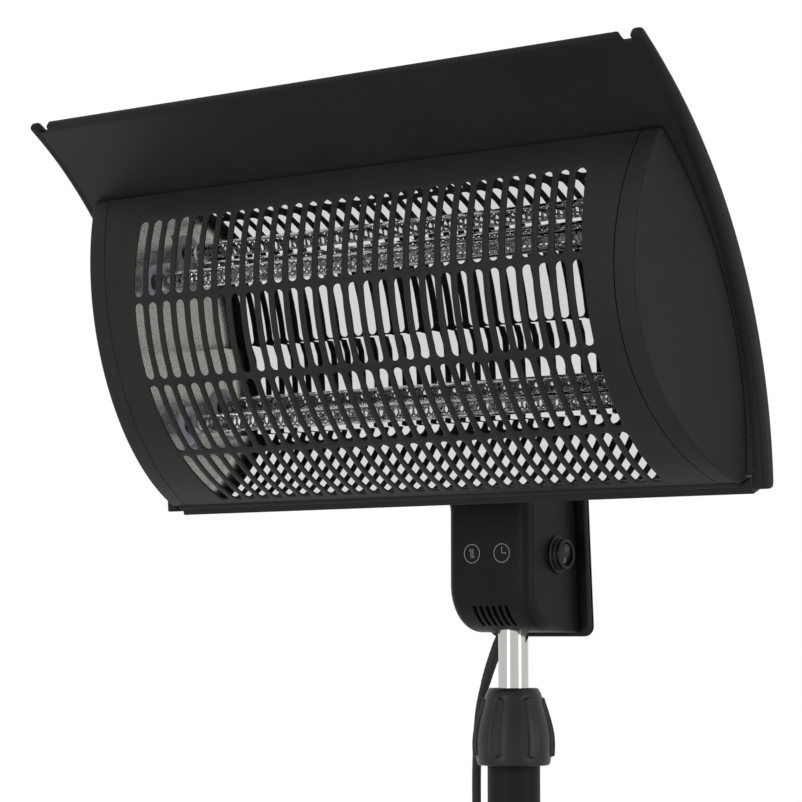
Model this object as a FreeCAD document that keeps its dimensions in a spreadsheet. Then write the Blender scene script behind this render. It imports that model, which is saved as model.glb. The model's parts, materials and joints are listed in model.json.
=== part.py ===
import FreeCAD, Part
import math
import os

import Sketcher

# Infrared patio heater on a telescopic stand, in millimetres.
# Origin: centre of the underside of the base. +Z up, the front faces -Y, the head's length runs along X.
# The head is drawn in its own frame (u forward, v up, arc centre of the grille at its origin) and
# stands turned about X by head_tilt_angle.

Vector = FreeCAD.Vector
Rotation = FreeCAD.Rotation
Placement = FreeCAD.Placement

SIZES = {
    # Clearances
    "snug": 0.05,
    "seat_gap": 0.1,
    "free_gap": 0.35,
    "screw_clearance": 0.2,
    "overrun": 5.0,
    # Inner mast tube and outer pole
    "mast_diameter": 22.8,
    "mast_wall": 1.5,
    "mast_stop": 80.0,
    "guide_height": 30.0,
    "pole_diameter": 39.8,
    "pole_wall": 1.5,
    "pole_joint_height": 500.0,
    "pole_top": 1182.0,
    "coupler_length": 120.0,
    "coupler_wall": 1.8,
    # Twist-lock collar, heights above its lower edge
    "collar_drop": 13.7,
    "collar_height": 57.8,
    "collar_wall": 4.9,
    "collar_swell": 3.15,
    "collar_wide_height": 15.0,
    "collar_top_wall": 0.9,
    "collar_lip_height": 4.0,
    "collar_cavity_gap": 0.6,
    "grip_rib_radius": 2.2,
    "grip_rib_length": 26.0,
    "sleeve_wall": 2.1,
    "sleeve_skirt": 13.0,
    "sleeve_shoulder": 2.0,
    "nipple_inset": 1.9,
    "nipple_height": 22.0,
    "collet_inset": 1.5,
    "collet_taper": 2.5,
    "collet_height": 13.0,
    "collet_slit": 1.6,
    # Base
    "foot_radius": 15.0,
    "foot_height": 7.0,
    "foot_inset": 30.0,
    "weight_radius": 220.0,
    "weight_height": 15.0,
    "cover_reach": 8.0,
    "cover_wall": 2.0,
    "cover_rim_height": 20.0,
    "cover_edge_round": 5.0,
    "cover_crown_height": 24.0,
    "cover_crown_radius": 60.0,
    "cover_neck_height": 8.0,
    "cover_neck_wall": 7.1,
    "cover_ledge": 8.0,
    "cover_floor_gap": 2.0,
    "flange_radius": 50.0,
    "flange_height": 5.0,
    "spigot_height": 70.0,
    "spigot_wall": 2.5,
    "base_bolt_radius": 4.0,
    "base_bolt_head_radius": 6.5,
    "base_bolt_head_height": 5.0,
    "base_bolt_circle_radius": 36.0,
    # Control box, measured from the mast's axis
    "box_half_width": 37.0,
    "box_front": 35.8,
    "box_lift": 86.0,
    "box_height": 107.0,
    "box_wall": 2.5,
    "box_edge_round": 9.0,
    "box_chin_round": 36.0,
    "vent_pitch": 5.7,
    "vent_width": 3.0,
    "vent_top": 20.0,
    "vent_back": 17.5,
    "post_radius": 3.0,
    "touch_board_width": 52.0,
    "touch_board_height": 44.0,
    "touch_board_lift": 37.0,
    "board_thickness": 1.6,
    "touch_post_length": 2.3,
    # Back plate
    "plate_margin": 9.8,
    "plate_top_margin": 1.5,
    "plate_low_margin": 3.5,
    "plate_thickness": 6.4,
    "plate_round": 8.0,
    "plate_front": 32.6,
    "plate_lift": 52.0,
    "plate_screw_radius": 1.75,
    "plate_screw_head_radius": 3.5,
    "plate_screw_head_height": 2.0,
    "plate_screw_length": 12.0,
    "plate_screw_side": 31.5,
    "plate_screw_rise": 42.0,
    "power_board_width": 60.0,
    "power_board_height": 84.0,
    "power_post_length": 13.0,
    "power_post_side": 25.0,
    "power_post_rise": 38.0,
    "relay_width": 15.0,
    "relay_height": 19.0,
    "relay_depth": 9.0,
    "relay_spacing": 20.0,
    "tilt_switch_radius": 3.0,
    "tilt_switch_length": 11.0,
    "tilt_switch_side": 23.0,
    "tilt_switch_rise": 20.0,
    # Rocker switch in the box's right wall
    "rocker_side": 5.3,
    "rocker_lift": 58.4,
    "bezel_flange_reach": 2.35,
    "bezel_flange_height": 2.2,
    "bezel_neck_step": 0.9,
    "bezel_step_height": 4.4,
    "bezel_rim_wall": 1.9,
    "bezel_height": 8.0,
    "rocker_play": 0.5,
    "rocker_body_depth": 17.0,
    "rocker_body_wall": 0.7,
    "rocker_radius": 8.4,
    "rocker_thickness": 4.6,
    "rocker_pivot_depth": 3.6,
    "rocker_pin_radius": 0.9,
    # Cord gland and neck
    "gland_side": 20.0,
    "gland_back": 16.0,
    "gland_flange_reach": 1.5,
    "gland_flange_height": 1.6,
    "gland_stem_wall": 0.7,
    "gland_stem_height": 8.0,
    "gland_nut_reach": 2.0,
    "gland_nut_height": 3.0,
    "neck_plate_width": 54.0,
    "neck_plate_front": 24.0,
    "neck_plate_back": 18.0,
    "neck_thickness": 3.0,
    "neck_socket_wall": 2.6,
    "neck_socket_length": 57.0,
    "neck_screw_radius": 2.5,
    "neck_screw_head_radius": 4.5,
    "neck_screw_height": 30.0,
    "neck_ear_round": 13.0,
    "pivot_forward": 55.0,
    "pivot_rise": 55.0,
    "pivot_radius": 4.0,
    "pivot_head_radius": 6.5,
    "pivot_head_height": 5.0,
    "pivot_tail": 13.0,
    "washer_radius": 12.0,
    "washer_thickness": 0.8,
    "knob_hub_radius": 9.0,
    "knob_length": 17.0,
    "knob_lobe_radius": 6.0,
    "knob_lobe_circle": 13.0,
    # Head frame
    "head_tilt_angle": 21.1,
    "head_set_back": 7.9,
    "head_rise": 95.0,
    # Canopy: an arc shell about a centre in front of the head
    "hood_back_forward": 84.8,
    "hood_centre_drop": 20.9,
    "hood_inner_radius": 353.9,
    "hood_wall": 3.0,
    "hood_lip_depth": 15.5,
    "hood_lip_spare": 8.0,
    "hood_outer_back": 34.2,
    "hood_outer_drop": 2.7,
    "hood_half_width": 266.0,
    "hood_lip_width": 14.0,
    "hood_lip_edge": 4.0,
    "hood_rail_gap": 2.17,
    "hood_tip_rise": 187.2,
    # Grille
    "grille_radius": 167.3,
    "grille_wall": 1.2,
    "slot_field_margin": 68.0,
    "slot_width": 7.75,
    "slot_length": 58.1,
    "slot_row_angle": 21.6,
    "slot_first_angle": 28.0,
    # End caps
    "cap_margin": 19.0,
    "cap_slant_share": 0.2857,
    "cap_top_width": 2.4,
    "cap_rim": 15.5,
    "cap_wall": 2.5,
    "cap_groove": 0.6,
    "cap_screw_radius": 2.0,
    "cap_screw_head_radius": 3.6,
    "cap_screw_head_height": 2.2,
    "cap_screw_length": 12.0,
    "cap_boss_radius": 5.0,
    "cap_screw_angle": 9.0,
    # Bottom rail
    "rail_lip_top": 127.5,
    "rail_lip_thickness": 3.1,
    "rail_lip_width": 18.0,
    "rail_step": 6.0,
    "rail_back": 84.0,
    "rail_bar_width": 11.5,
    "rail_bar_height": 8.9,
    "rail_margin": 11.4,
    # Reflector: each corner's height and its gap in front of the canopy
    "reflector_wall": 0.8,
    "reflector_margin": 60.0,
    "reflector_top_drop": 8.5,
    "reflector_top_gap": 2.9,
    "reflector_bend_rise": 64.0,
    "reflector_bend_gap": 4.4,
    "reflector_crease_drop": 5.8,
    "reflector_crease_gap": 19.5,
    "reflector_fold_drop": 27.0,
    "reflector_fold_gap": 15.2,
    "reflector_low_drop": 76.0,
    "reflector_low_gap": 9.3,
    "reflector_rail_gap": 6.5,
    "reflector_end_gap": 11.2,
    # Inner housing behind the reflector
    "housing_gap": 0.9,
    "housing_wall": 0.8,
    "housing_margin": 38.0,
    # Quartz tubes and coils
    "quartz_diameter": 14.0,
    "quartz_wall": 1.2,
    "quartz_reach": 8.0,
    "quartz_forward": 119.8,
    "quartz_upper_rise": 53.4,
    "quartz_lower_drop": 59.5,
    "coil_gap": 0.55,
    "coil_wire": 1.1,
    "coil_margin": 14.0,
    "bush_ring_wall": 7.2,
    "bush_ring_height": 2.6,
    "bush_hole_wall": 1.8,
    "bush_hole_depth": 1.2,
    "bush_body_wall": 3.5,
    "bush_flange_width": 24.0,
    "bush_flange_length": 46.0,
    "bush_flange_height": 3.2,
    "bush_screw_offset": 18.0,
    "bush_screw_radius": 1.5,
    "bush_screw_head_radius": 2.9,
    "bush_screw_head_height": 1.8,
    "terminal_inset": 0.6,
    "terminal_length": 10.0,
    "terminal_tab_width": 6.3,
    "terminal_tab_length": 8.0,
    "cutout_radius": 8.0,
    "cutout_height": 7.0,
    # Bracket and cover on the canopy's back
    "bracket_low_angle": 6.46,
    "bracket_plate_width": 70.0,
    "bracket_plate_height": 56.0,
    "bracket_ear_thickness": 3.0,
    "bracket_bolt_radius": 3.0,
    "bracket_bolt_head_radius": 5.0,
    "bracket_bolt_head_height": 3.5,
    "bracket_bolt_side": 29.0,
    "bracket_bolt_rise": 21.0,
    "cover_box_width": 96.0,
    "cover_box_height": 46.0,
    "cover_box_depth": 20.0,
    "cover_box_wall": 2.0,
    "cover_box_angle": 5.0,
    "head_gland_radius": 6.0,
    "head_gland_length": 9.0,
    # Mains lead
    "cord_diameter": 7.0,
    "boot_wall": 0.8,
    "boot_length": 8.0,
    "coil_loop_step": 7.9,
    "coil_layer_step": 7.6,
    "coil_inner_radius": 31.0,
    "coil_centre_side": 7.0,
    "coil_centre_back": 322.0,
    "coil_entry_run": 36.0,
    "coil_tail_run": 34.0,
    "plug_width": 36.0,
    "plug_height": 21.0,
    "plug_length": 42.0,
    "plug_nose": 16.0,
    "pin_diameter": 4.8,
    "pin_length": 19.0,
    "pin_spacing": 19.0,
}
# Shares of the size that carries them
POST_SIDE_SHARE = 0.4
POST_RISE_SHARE = 0.35
CAP_SCREW_SHARE = 0.2
KNOB_GRIP_SHARE = 0.6
ARC_REACH_SHARE = 0.45
CLIMB_SHARE = 0.5
PLUG_NOSE_SHARE = 0.65
PLUG_SHOULDER_SHARE = 0.45
PLUG_ROUND_SHARE = 0.2
# Counts and angles
SLOT_COLUMNS = 30
SLOT_ROWS = 4
FOOT_COUNT = 6
RIB_COUNT = 8
VENT_COUNT = 6
COIL_TURNS = 48
DENSE_STEPS = 36
NEARLY_ZERO = 1e-7
CORD_LOOPS_PER_LAYER = 3
CORD_LAYERS = 2
CORD_COIL_START_ANGLE = 180.0
ROCKER_REST_ANGLE = 8.0
PLATE_LEAN = 3.8

doc = FreeCAD.newDocument("patio_heater")
sheet = doc.addObject("Spreadsheet::Sheet", "sizes")
for row, (alias, number) in enumerate(SIZES.items(), start=1):
    sheet.set(f"A{row}", alias.replace("_", " "))
    sheet.set(f"B{row}", str(number))
    sheet.setAlias(f"B{row}", alias)
doc.recompute()


class Size:
    """A number together with the sheet formula that gives it."""

    def __init__(self, number, formula):
        self.number = float(number)
        self.formula = formula

    def __float__(self):
        return self.number

    def __neg__(self):
        return Size(-self.number, f"(0 - {self.formula})")

    def __add__(self, other):
        return Size(self.number + float(other), f"({self.formula} + {formula(other)})")

    def __radd__(self, other):
        return Size(float(other) + self.number, f"({formula(other)} + {self.formula})")

    def __sub__(self, other):
        return Size(self.number - float(other), f"({self.formula} - {formula(other)})")

    def __rsub__(self, other):
        return Size(float(other) - self.number, f"({formula(other)} - {self.formula})")

    def __mul__(self, other):
        return Size(self.number * float(other), f"({self.formula} * {formula(other)})")

    def __rmul__(self, other):
        return Size(float(other) * self.number, f"({formula(other)} * {self.formula})")

    def __truediv__(self, other):
        return Size(self.number / float(other), f"({self.formula} / {formula(other)})")


def formula(value):
    """The text of a size, or of a plain number, for an expression."""
    if isinstance(value, Size):
        return value.formula
    return repr(float(value))


class Sizes:
    """Every driving dimension of the sheet as an attribute."""

    def __init__(self):
        for alias in SIZES:
            setattr(self, alias, Size(getattr(sheet, alias), f"sizes.{alias}"))


def arc_angle(rise, radius):
    """The angle in degrees at which a circle reaches a height."""
    number = math.degrees(math.asin(float(rise) / float(radius)))
    return Size(number, f"asin({formula(rise)} / {formula(radius)})")


d = Sizes()

# Stand: what fits round the pole and the mast, and what stands above them
d.sleeve_radius = d.pole_diameter / 2 + d.sleeve_wall
d.collar_cavity_radius = d.sleeve_radius + d.collar_cavity_gap
d.collar_bottom_radius = d.collar_cavity_radius + d.collar_wall
d.collar_wide_radius = d.collar_bottom_radius + d.collar_swell
d.nipple_radius = d.pole_diameter / 2 - d.nipple_inset
d.collar_top_radius = d.nipple_radius + d.collar_top_wall
d.collet_base_radius = d.nipple_radius - d.collet_inset
d.collet_top_radius = d.collet_base_radius - d.collet_taper
d.collar_bottom = d.pole_top - d.collar_drop
d.box_bottom = d.pole_top + d.box_lift
d.mast_bottom = d.pole_joint_height + d.coupler_length / 2 + d.mast_stop
d.mast_length = d.box_bottom + d.box_height + d.neck_thickness - d.mast_bottom
d.foot_circle_radius = d.weight_radius - d.foot_inset
d.cover_radius = d.weight_radius + d.cover_reach
d.cover_neck_radius = d.pole_diameter / 2 + d.cover_neck_wall
# Box, plate, switch and gland
d.plate_half_width = d.box_half_width + d.plate_margin
d.plate_drop = d.plate_lift + d.plate_low_margin
d.plate_height = d.box_height + d.plate_low_margin + d.plate_top_margin
d.plate_mid_height = d.box_bottom + d.plate_lift
d.rocker_body_radius = d.rocker_radius + d.rocker_play + d.rocker_body_wall
d.bezel_rim_radius = d.rocker_body_radius + d.bezel_rim_wall
d.bezel_neck_radius = d.bezel_rim_radius + d.bezel_neck_step
d.bezel_flange_radius = d.bezel_neck_radius + d.bezel_flange_reach
d.boot_radius = d.cord_diameter / 2 + d.boot_wall
d.gland_stem_radius = d.boot_radius + d.gland_stem_wall
d.gland_flange_radius = d.gland_stem_radius + d.gland_flange_reach
d.gland_nut_radius = d.gland_stem_radius + d.gland_nut_reach
# Neck and the head's place
d.neck_socket_radius = d.mast_diameter / 2 + d.neck_socket_wall
d.head_ear_offset = (d.neck_plate_width / 2 - d.neck_thickness - d.washer_thickness - d.seat_gap * 2
                     - d.bracket_ear_thickness)
d.pivot_height = d.box_bottom + d.box_height + d.pivot_rise
d.head_height = d.pivot_height + d.head_rise
d.head_forward = d.pivot_forward - d.head_set_back
# Head: everything follows the canopy's half width, the rail's top and the canopy's arc
d.cap_half_width = d.hood_half_width - d.cap_margin
d.rail_half_width = d.hood_half_width - d.rail_margin
d.reflector_half_width = d.hood_half_width - d.reflector_margin
d.housing_half_width = d.hood_half_width - d.housing_margin
d.quartz_half_length = d.reflector_half_width + d.quartz_reach
d.slot_pitch = (d.hood_half_width - d.slot_field_margin) * 2 / SLOT_COLUMNS
d.coil_pitch = (d.reflector_half_width - d.coil_margin) * 2 / COIL_TURNS
d.rail_lip_bottom = d.rail_lip_top + d.rail_lip_thickness
d.rail_bottom = d.rail_lip_bottom + d.rail_bar_height
d.rail_lip_back = d.rail_back + d.rail_step
d.rail_lip_front = d.rail_lip_back + d.rail_lip_width
d.rail_front = d.rail_back + d.rail_bar_width
d.hood_centre_forward = d.hood_inner_radius + d.hood_back_forward
d.hood_outer_radius = d.hood_inner_radius + d.hood_lip_depth - d.hood_outer_back
d.hood_low_angle = arc_angle(d.rail_lip_top - d.hood_rail_gap - d.hood_centre_drop, d.hood_inner_radius)
d.hood_high_angle = arc_angle(d.hood_tip_rise + d.hood_centre_drop, d.hood_inner_radius)
d.coil_radius = d.quartz_diameter / 2 - d.quartz_wall - d.coil_wire / 2 - d.coil_gap
d.bush_ring_radius = d.quartz_diameter / 2 + d.bush_ring_wall
d.bush_hole_radius = d.quartz_diameter / 2 + d.bush_hole_wall
d.bush_body_radius = d.quartz_diameter / 2 + d.bush_body_wall
d.terminal_radius = d.quartz_diameter / 2 - d.terminal_inset
nodes = []


# Helpers for document objects

def bind(thing, **sizes):
    """Tie properties of an object to the sheet."""
    for name, size in sizes.items():
        thing.setExpression(name, formula(size))


def move(thing, x, y, z):
    """Tie an object's place to the sheet and keep its turn."""
    for axis, size in zip("xyz", (x, y, z)):
        thing.setExpression(f"Placement.Base.{axis}", formula(size))


def block(name, length, width, height, x=0, y=0, z=0):
    """A box centred on x and y that stands on z."""
    thing = doc.addObject("Part::Box", name)
    bind(thing, Length=length, Width=width, Height=height)
    move(thing, x - length / 2, y - width / 2, z)
    return thing


TURNS = {
    "Z": Rotation(),
    "X": Rotation(Vector(0, 1, 0), 90),
    "Y": Rotation(Vector(1, 0, 0), -90),
}


def rod(name, radius, length, x=0, y=0, z=0, along="Z"):
    """A cylinder that starts at a point and runs along an axis."""
    thing = doc.addObject("Part::Cylinder", name)
    thing.Placement = Placement(Vector(0, 0, 0), TURNS[along])
    bind(thing, Radius=radius, Height=length)
    move(thing, x, y, z)
    return thing


def fuse(name, *things):
    """One solid from several that overlap or touch."""
    thing = doc.addObject("Part::MultiFuse", name)
    thing.Shapes = list(things)
    return thing


def group(name, *things):
    """Separate solids in one object."""
    thing = doc.addObject("Part::Compound", name)
    thing.Links = list(things)
    return thing


def cut(name, base, *tools):
    """The base less its tools."""
    thing = doc.addObject("Part::Cut", name)
    thing.Base = base
    thing.Tool = tools[0] if len(tools) == 1 else group(name + "_tools", *tools)
    return thing


def tube(name, outer, inner, length, x=0, y=0, z=0, along="Z"):
    """A straight tube from its two radii."""
    bore = rod(name + "_bore", inner, length, x, y, z, along)
    return cut(name, rod(name + "_outside", outer, length, x, y, z, along), bore)


def origin_part(body, role):
    """A plane or axis of a body's own origin."""
    return [part for part in body.Origin.OriginFeatures if part.Role == role][0]


def sketch_on(body, name, role):
    """A sketch on one of the body's origin planes."""
    sketch = body.newObject("Sketcher::SketchObject", name)
    sketch.AttachmentSupport = [(origin_part(body, role), "")]
    sketch.MapMode = "FlatFace"
    return sketch


def outline(sketch, points):
    """A closed outline of straight lines whose corners follow the sheet."""
    corners = [Vector(float(x), float(y), 0) for x, y in points]
    count = len(corners)
    for index in range(count):
        line = Part.LineSegment(corners[index], corners[(index + 1) % count])
        sketch.addGeometry(line, False)
    for index in range(count):
        sketch.addConstraint(Sketcher.Constraint("Coincident", index, 2, (index + 1) % count, 1))
    for index, point in enumerate(points):
        for kind, size, axis in (("DistanceX", point[0], -2), ("DistanceY", point[1], -1)):
            if float(size) == 0:
                sketch.addConstraint(Sketcher.Constraint("PointOnObject", index, 1, axis))
                continue
            datum = Sketcher.Constraint(kind, -1, 1, index, 1, float(size))
            number = sketch.addConstraint(datum)
            if isinstance(size, Size):
                sketch.setExpression(f"Constraints[{number}]", size.formula)


def turned(name, points):
    """A body of revolution about Z, from points of radius and height."""
    body = doc.addObject("PartDesign::Body", name)
    sketch = sketch_on(body, name + "_profile", "XZ_Plane")
    outline(sketch, points)
    turn = body.newObject("PartDesign::Revolution", name + "_turn")
    turn.Profile = sketch
    turn.ReferenceAxis = (sketch, ["V_Axis"])
    sketch.Visibility = False
    return body


def node(thing, name, place=None):
    """Name a finished sub-part and stand it in its frame."""
    thing.Label = name
    if place is not None:
        thing.Placement = place
    nodes.append(thing)
    return thing


def feature(name, shape, place=None):
    """A sub-part whose shape is worked out here from the sheet's sizes."""
    thing = doc.addObject("Part::Feature", name)
    thing.Shape = shape
    return node(thing, name, place)


# Helpers for shapes in a plane across X, given as (forward, up)

def at(forward, up, x=0.0):
    """A point of the head's profile at a place along X."""
    return Vector(float(x), -float(forward), float(up))


def wire_face(edges):
    """A face from edges that form one closed loop."""
    return Part.Face(Part.Wire(Part.__sortEdges__(edges)))


def circle_height(centre_forward, centre_up, radius, up):
    """How far back a circle about a point in front lies at a height."""
    rise = float(up) - float(centre_up)
    return float(centre_forward) - math.sqrt(float(radius) ** 2 - rise ** 2)


HEAD_TURN = Rotation(Vector(1, 0, 0), float(d.head_tilt_angle))
HEAD = Placement(Vector(0, -float(d.head_forward), float(d.head_height)), HEAD_TURN)
ARC_CENTRE = at(d.hood_centre_forward, -d.hood_centre_drop)
ARC = HEAD.multiply(Placement(ARC_CENTRE, Rotation()))


def about_x(angle):
    """A turn about X by degrees."""
    return Rotation(Vector(1, 0, 0), angle)


def hood_back(up):
    """How far forward the canopy's inner face lies at a height of the head's frame."""
    return circle_height(d.hood_centre_forward, -d.hood_centre_drop, d.hood_inner_radius, up)


# Mast, pole and collar

def build_mast():
    """The inner tube, its guide bush at the foot, and the collar that clamps it."""
    radius = d.mast_diameter / 2
    node(tube("mast_tube", radius, radius - d.mast_wall, d.mast_length, z=d.mast_bottom), "inner_tube")
    bore = d.pole_diameter / 2 - d.pole_wall
    guide = turned("guide", [
        (radius + d.snug, d.mast_bottom),
        (bore - d.snug, d.mast_bottom),
        (bore - d.snug, d.mast_bottom + d.guide_height),
        (radius + d.snug, d.mast_bottom + d.guide_height),
    ])
    node(guide, "tube_guide_bush")


def build_pole():
    """Two lengths of outer tube on a spigot, joined by an inner coupler."""
    outer = d.pole_diameter / 2
    bore = outer - d.pole_wall
    seat = d.foot_height + d.weight_height + d.flange_height
    upper = tube("pole_upper", outer, bore, d.pole_top - d.pole_joint_height, z=d.pole_joint_height)
    node(upper, "outer_tube_upper")
    node(tube("pole_lower", outer, bore, d.pole_joint_height - seat, z=seat), "outer_tube_lower")
    fit = bore - d.snug
    start = d.pole_joint_height - d.coupler_length / 2
    node(tube("coupler", fit, fit - d.coupler_wall, d.coupler_length, z=start), "tube_coupler")


def build_collar():
    """The fixed threaded sleeve, the split collet and the gripped collar round them."""
    mast = d.mast_diameter / 2
    pole = d.pole_diameter / 2 + d.snug
    low = d.pole_top - d.sleeve_skirt
    shoulder = d.pole_top + d.sleeve_shoulder
    top = d.pole_top + d.nipple_height
    slide = mast + d.free_gap
    sleeve = turned("sleeve", [
        (pole, low), (d.sleeve_radius, low), (d.sleeve_radius, shoulder), (d.nipple_radius, shoulder),
        (d.nipple_radius, top), (slide, top), (slide, d.pole_top), (pole, d.pole_top),
    ])
    node(sleeve, "collar_sleeve")
    grip = mast + d.snug
    jaw = turned("jaw", [
        (grip, top), (d.collet_base_radius, top), (d.collet_top_radius, top + d.collet_height),
        (grip, top + d.collet_height),
    ])
    width = d.collet_base_radius * 2 + d.overrun
    rise = d.collet_height + d.overrun
    lift = top + d.collet_height / 4
    slits = [block("slit_x", width, d.collet_slit, rise, z=lift),
             block("slit_y", d.collet_slit, width, rise, z=lift)]
    node(cut("jaw_split", jaw, *slits), "collet")

    floor = d.collar_bottom
    ceiling = floor + d.collar_height
    hollow_top = top + d.collet_height + d.free_gap
    shell = turned("collar_shell", [
        (d.collar_cavity_radius, floor), (d.collar_bottom_radius, floor),
        (d.collar_wide_radius, floor + d.collar_wide_height),
        (d.collar_top_radius, ceiling - d.collar_lip_height), (d.collar_top_radius, ceiling),
        (slide, ceiling), (slide, hollow_top + d.free_gap),
        (d.collet_top_radius + d.free_gap, hollow_top), (d.collet_base_radius + d.free_gap, top + d.free_gap),
        (d.nipple_radius + d.free_gap, top), (d.nipple_radius + d.free_gap, shoulder + d.free_gap),
        (d.collar_cavity_radius, shoulder + d.free_gap),
    ])
    fall = float(d.collar_wide_radius - d.collar_top_radius)
    slope = math.degrees(math.atan2(fall, float(d.collar_height - d.collar_wide_height - d.collar_lip_height)))
    ribs = []
    for index in range(RIB_COUNT):
        angle = 360 * index / RIB_COUNT
        rib = doc.addObject("Part::Cylinder", f"grip_rib_{index}")
        bind(rib, Radius=d.grip_rib_radius, Height=d.grip_rib_length)
        lean = Rotation(Vector(0, 1, 0), -slope)
        around = Rotation(Vector(0, 0, 1), angle)
        foot = Vector(float(d.collar_wide_radius - d.grip_rib_radius), 0, float(floor + d.collar_wide_height))
        rib.Placement = Placement(around.multVec(foot), around.multiply(lean))
        ribs.append(rib)
    node(fuse("collar_grip", shell, *ribs), "lock_collar")


# Base

def ring_places(count, radius, start=0.0):
    """Places on a circle, each with its angle's cosine and sine as factors of the radius."""
    for index in range(count):
        angle = 2 * math.pi * index / count + start
        yield radius * math.cos(angle), radius * math.sin(angle)


def build_base():
    """Feet, weight, cover, flange with spigot and the bolts between them."""
    feet = [rod(f"foot_{index}", d.foot_radius, d.foot_height, x, y)
            for index, (x, y) in enumerate(ring_places(FOOT_COUNT, d.foot_circle_radius, math.pi / 6))]
    feet.append(rod("foot_middle", d.foot_radius, d.foot_height))
    node(group("feet", *feet), "rubber_feet")

    low = d.foot_height
    top = low + d.weight_height
    bolt_places = list(ring_places(4, d.base_bolt_circle_radius, math.pi / 4))
    disc = turned("weight_disc", [(0, low), (d.weight_radius, low), (d.weight_radius, top), (0, top)])
    drills = [rod(f"weight_drill_{index}", d.base_bolt_radius + d.snug, d.weight_height + d.overrun * 2,
                  x, y, low - d.overrun) for index, (x, y) in enumerate(bolt_places)]
    node(cut("weight_drilled", disc, *drills), "base_weight")

    pole_bore = d.pole_diameter / 2 - d.pole_wall
    spigot = pole_bore - d.snug
    seat = top + d.flange_height
    plate = turned("flange_disc", [
        (spigot - d.spigot_wall, top), (d.flange_radius, top), (d.flange_radius, seat), (spigot, seat),
        (spigot, seat + d.spigot_height), (spigot - d.spigot_wall, seat + d.spigot_height),
    ])
    drills = [rod(f"flange_drill_{index}", d.base_bolt_radius + d.screw_clearance,
                  d.flange_height + d.overrun * 2, x, y, top - d.overrun)
              for index, (x, y) in enumerate(bolt_places)]
    node(cut("flange_drilled", plate, *drills), "base_flange")

    bolts = []
    for index, (x, y) in enumerate(bolt_places):
        shank = rod(f"bolt_shank_{index}", d.base_bolt_radius, d.weight_height + d.flange_height, x, y, low)
        head = rod(f"bolt_head_{index}", d.base_bolt_head_radius, d.base_bolt_head_height, x, y, seat)
        bolts.append(fuse(f"bolt_{index}", shank, head))
    node(group("bolts", *bolts), "base_bolts")

    rim = d.cover_radius
    wall = d.cover_wall
    shoulder = low + d.cover_rim_height
    crown = shoulder + d.cover_crown_height
    neck = crown + d.cover_neck_height
    hole = d.pole_diameter / 2 + d.free_gap
    inner_rim = d.weight_radius + d.free_gap
    ledge = d.weight_radius - d.cover_ledge
    cover = turned("cover_shell", [
        (inner_rim, d.cover_floor_gap), (rim, d.cover_floor_gap), (rim, shoulder - d.cover_edge_round),
        (rim - d.cover_edge_round, shoulder), (d.cover_crown_radius, crown),
        (d.cover_neck_radius, crown + wall), (d.cover_neck_radius, neck), (hole, neck), (hole, crown), (d.cover_crown_radius, crown - wall),
        (ledge, shoulder - wall), (ledge, top), (inner_rim, top),
    ])
    node(cover, "base_cover")


# Control box

def rounded_profile(inset):
    """The side profile of the case, with its round chin, as a face across X at zero."""
    front = -float(d.box_front) + inset
    bottom = float(d.box_bottom) + inset
    top = float(d.box_bottom + d.box_height) - inset
    chin = float(d.box_chin_round) - inset
    lean = math.tan(math.radians(PLATE_LEAN))
    back_low = float(d.plate_front) + (float(d.plate_mid_height) - bottom) * lean
    back_high = float(d.plate_front) + (float(d.plate_mid_height) - top) * lean
    reach = 0.0 if inset == 0 else float(d.overrun)
    turn = math.sqrt(0.5)
    mid = Vector(0, front + chin * (1 - turn), bottom + chin * (1 - turn))
    corners = [
        Vector(0, front, top), Vector(0, front, bottom + chin), Vector(0, front + chin, bottom),
        Vector(0, back_low + reach, bottom), Vector(0, back_high + reach, top),
    ]
    edges = [
        Part.makeLine(corners[0], corners[1]), Part.Arc(corners[1], mid, corners[2]).toShape(),
        Part.makeLine(corners[2], corners[3]), Part.makeLine(corners[3], corners[4]),
        Part.makeLine(corners[4], corners[0]),
    ]
    return wire_face(edges)


def case_form(inset):
    """The case with rounded front corners; an inset gives its hollow."""
    half = float(d.box_half_width) - inset
    side = rounded_profile(inset)
    side.translate(Vector(-half, 0, 0))
    body = side.extrude(Vector(2 * half, 0, 0))
    corner = float(d.box_edge_round) - inset
    front = -float(d.box_front) + inset
    back = float(d.plate_front + d.plate_thickness + d.overrun * 2)
    turn = 1 - math.sqrt(0.5)
    points = [Vector(-half, back, 0), Vector(-half, front + corner, 0), Vector(-half + corner, front, 0),
              Vector(half - corner, front, 0), Vector(half, front + corner, 0), Vector(half, back, 0)]
    left = Vector(-half + corner * turn, front + corner * turn, 0)
    right = Vector(half - corner * turn, front + corner * turn, 0)
    plan = wire_face([
        Part.makeLine(points[0], points[1]), Part.Arc(points[1], left, points[2]).toShape(),
        Part.makeLine(points[2], points[3]), Part.Arc(points[3], right, points[4]).toShape(),
        Part.makeLine(points[4], points[5]), Part.makeLine(points[5], points[0]),
    ])
    base = float(d.box_bottom - d.overrun)
    plan.translate(Vector(0, 0, base))
    column = plan.extrude(Vector(0, 0, float(d.box_height + d.overrun * 2)))
    return body.common(column)


def upright(radius, length, x, y, z, direction=Vector(0, 0, 1)):
    """A plain cylinder shape from a point along a direction."""
    start = Vector(float(x), float(y), float(z))
    return Part.makeCylinder(float(radius), float(length), start, direction)


ROCKER_PLACE = (d.box_half_width, d.rocker_side, d.box_bottom + d.rocker_lift)


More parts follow.
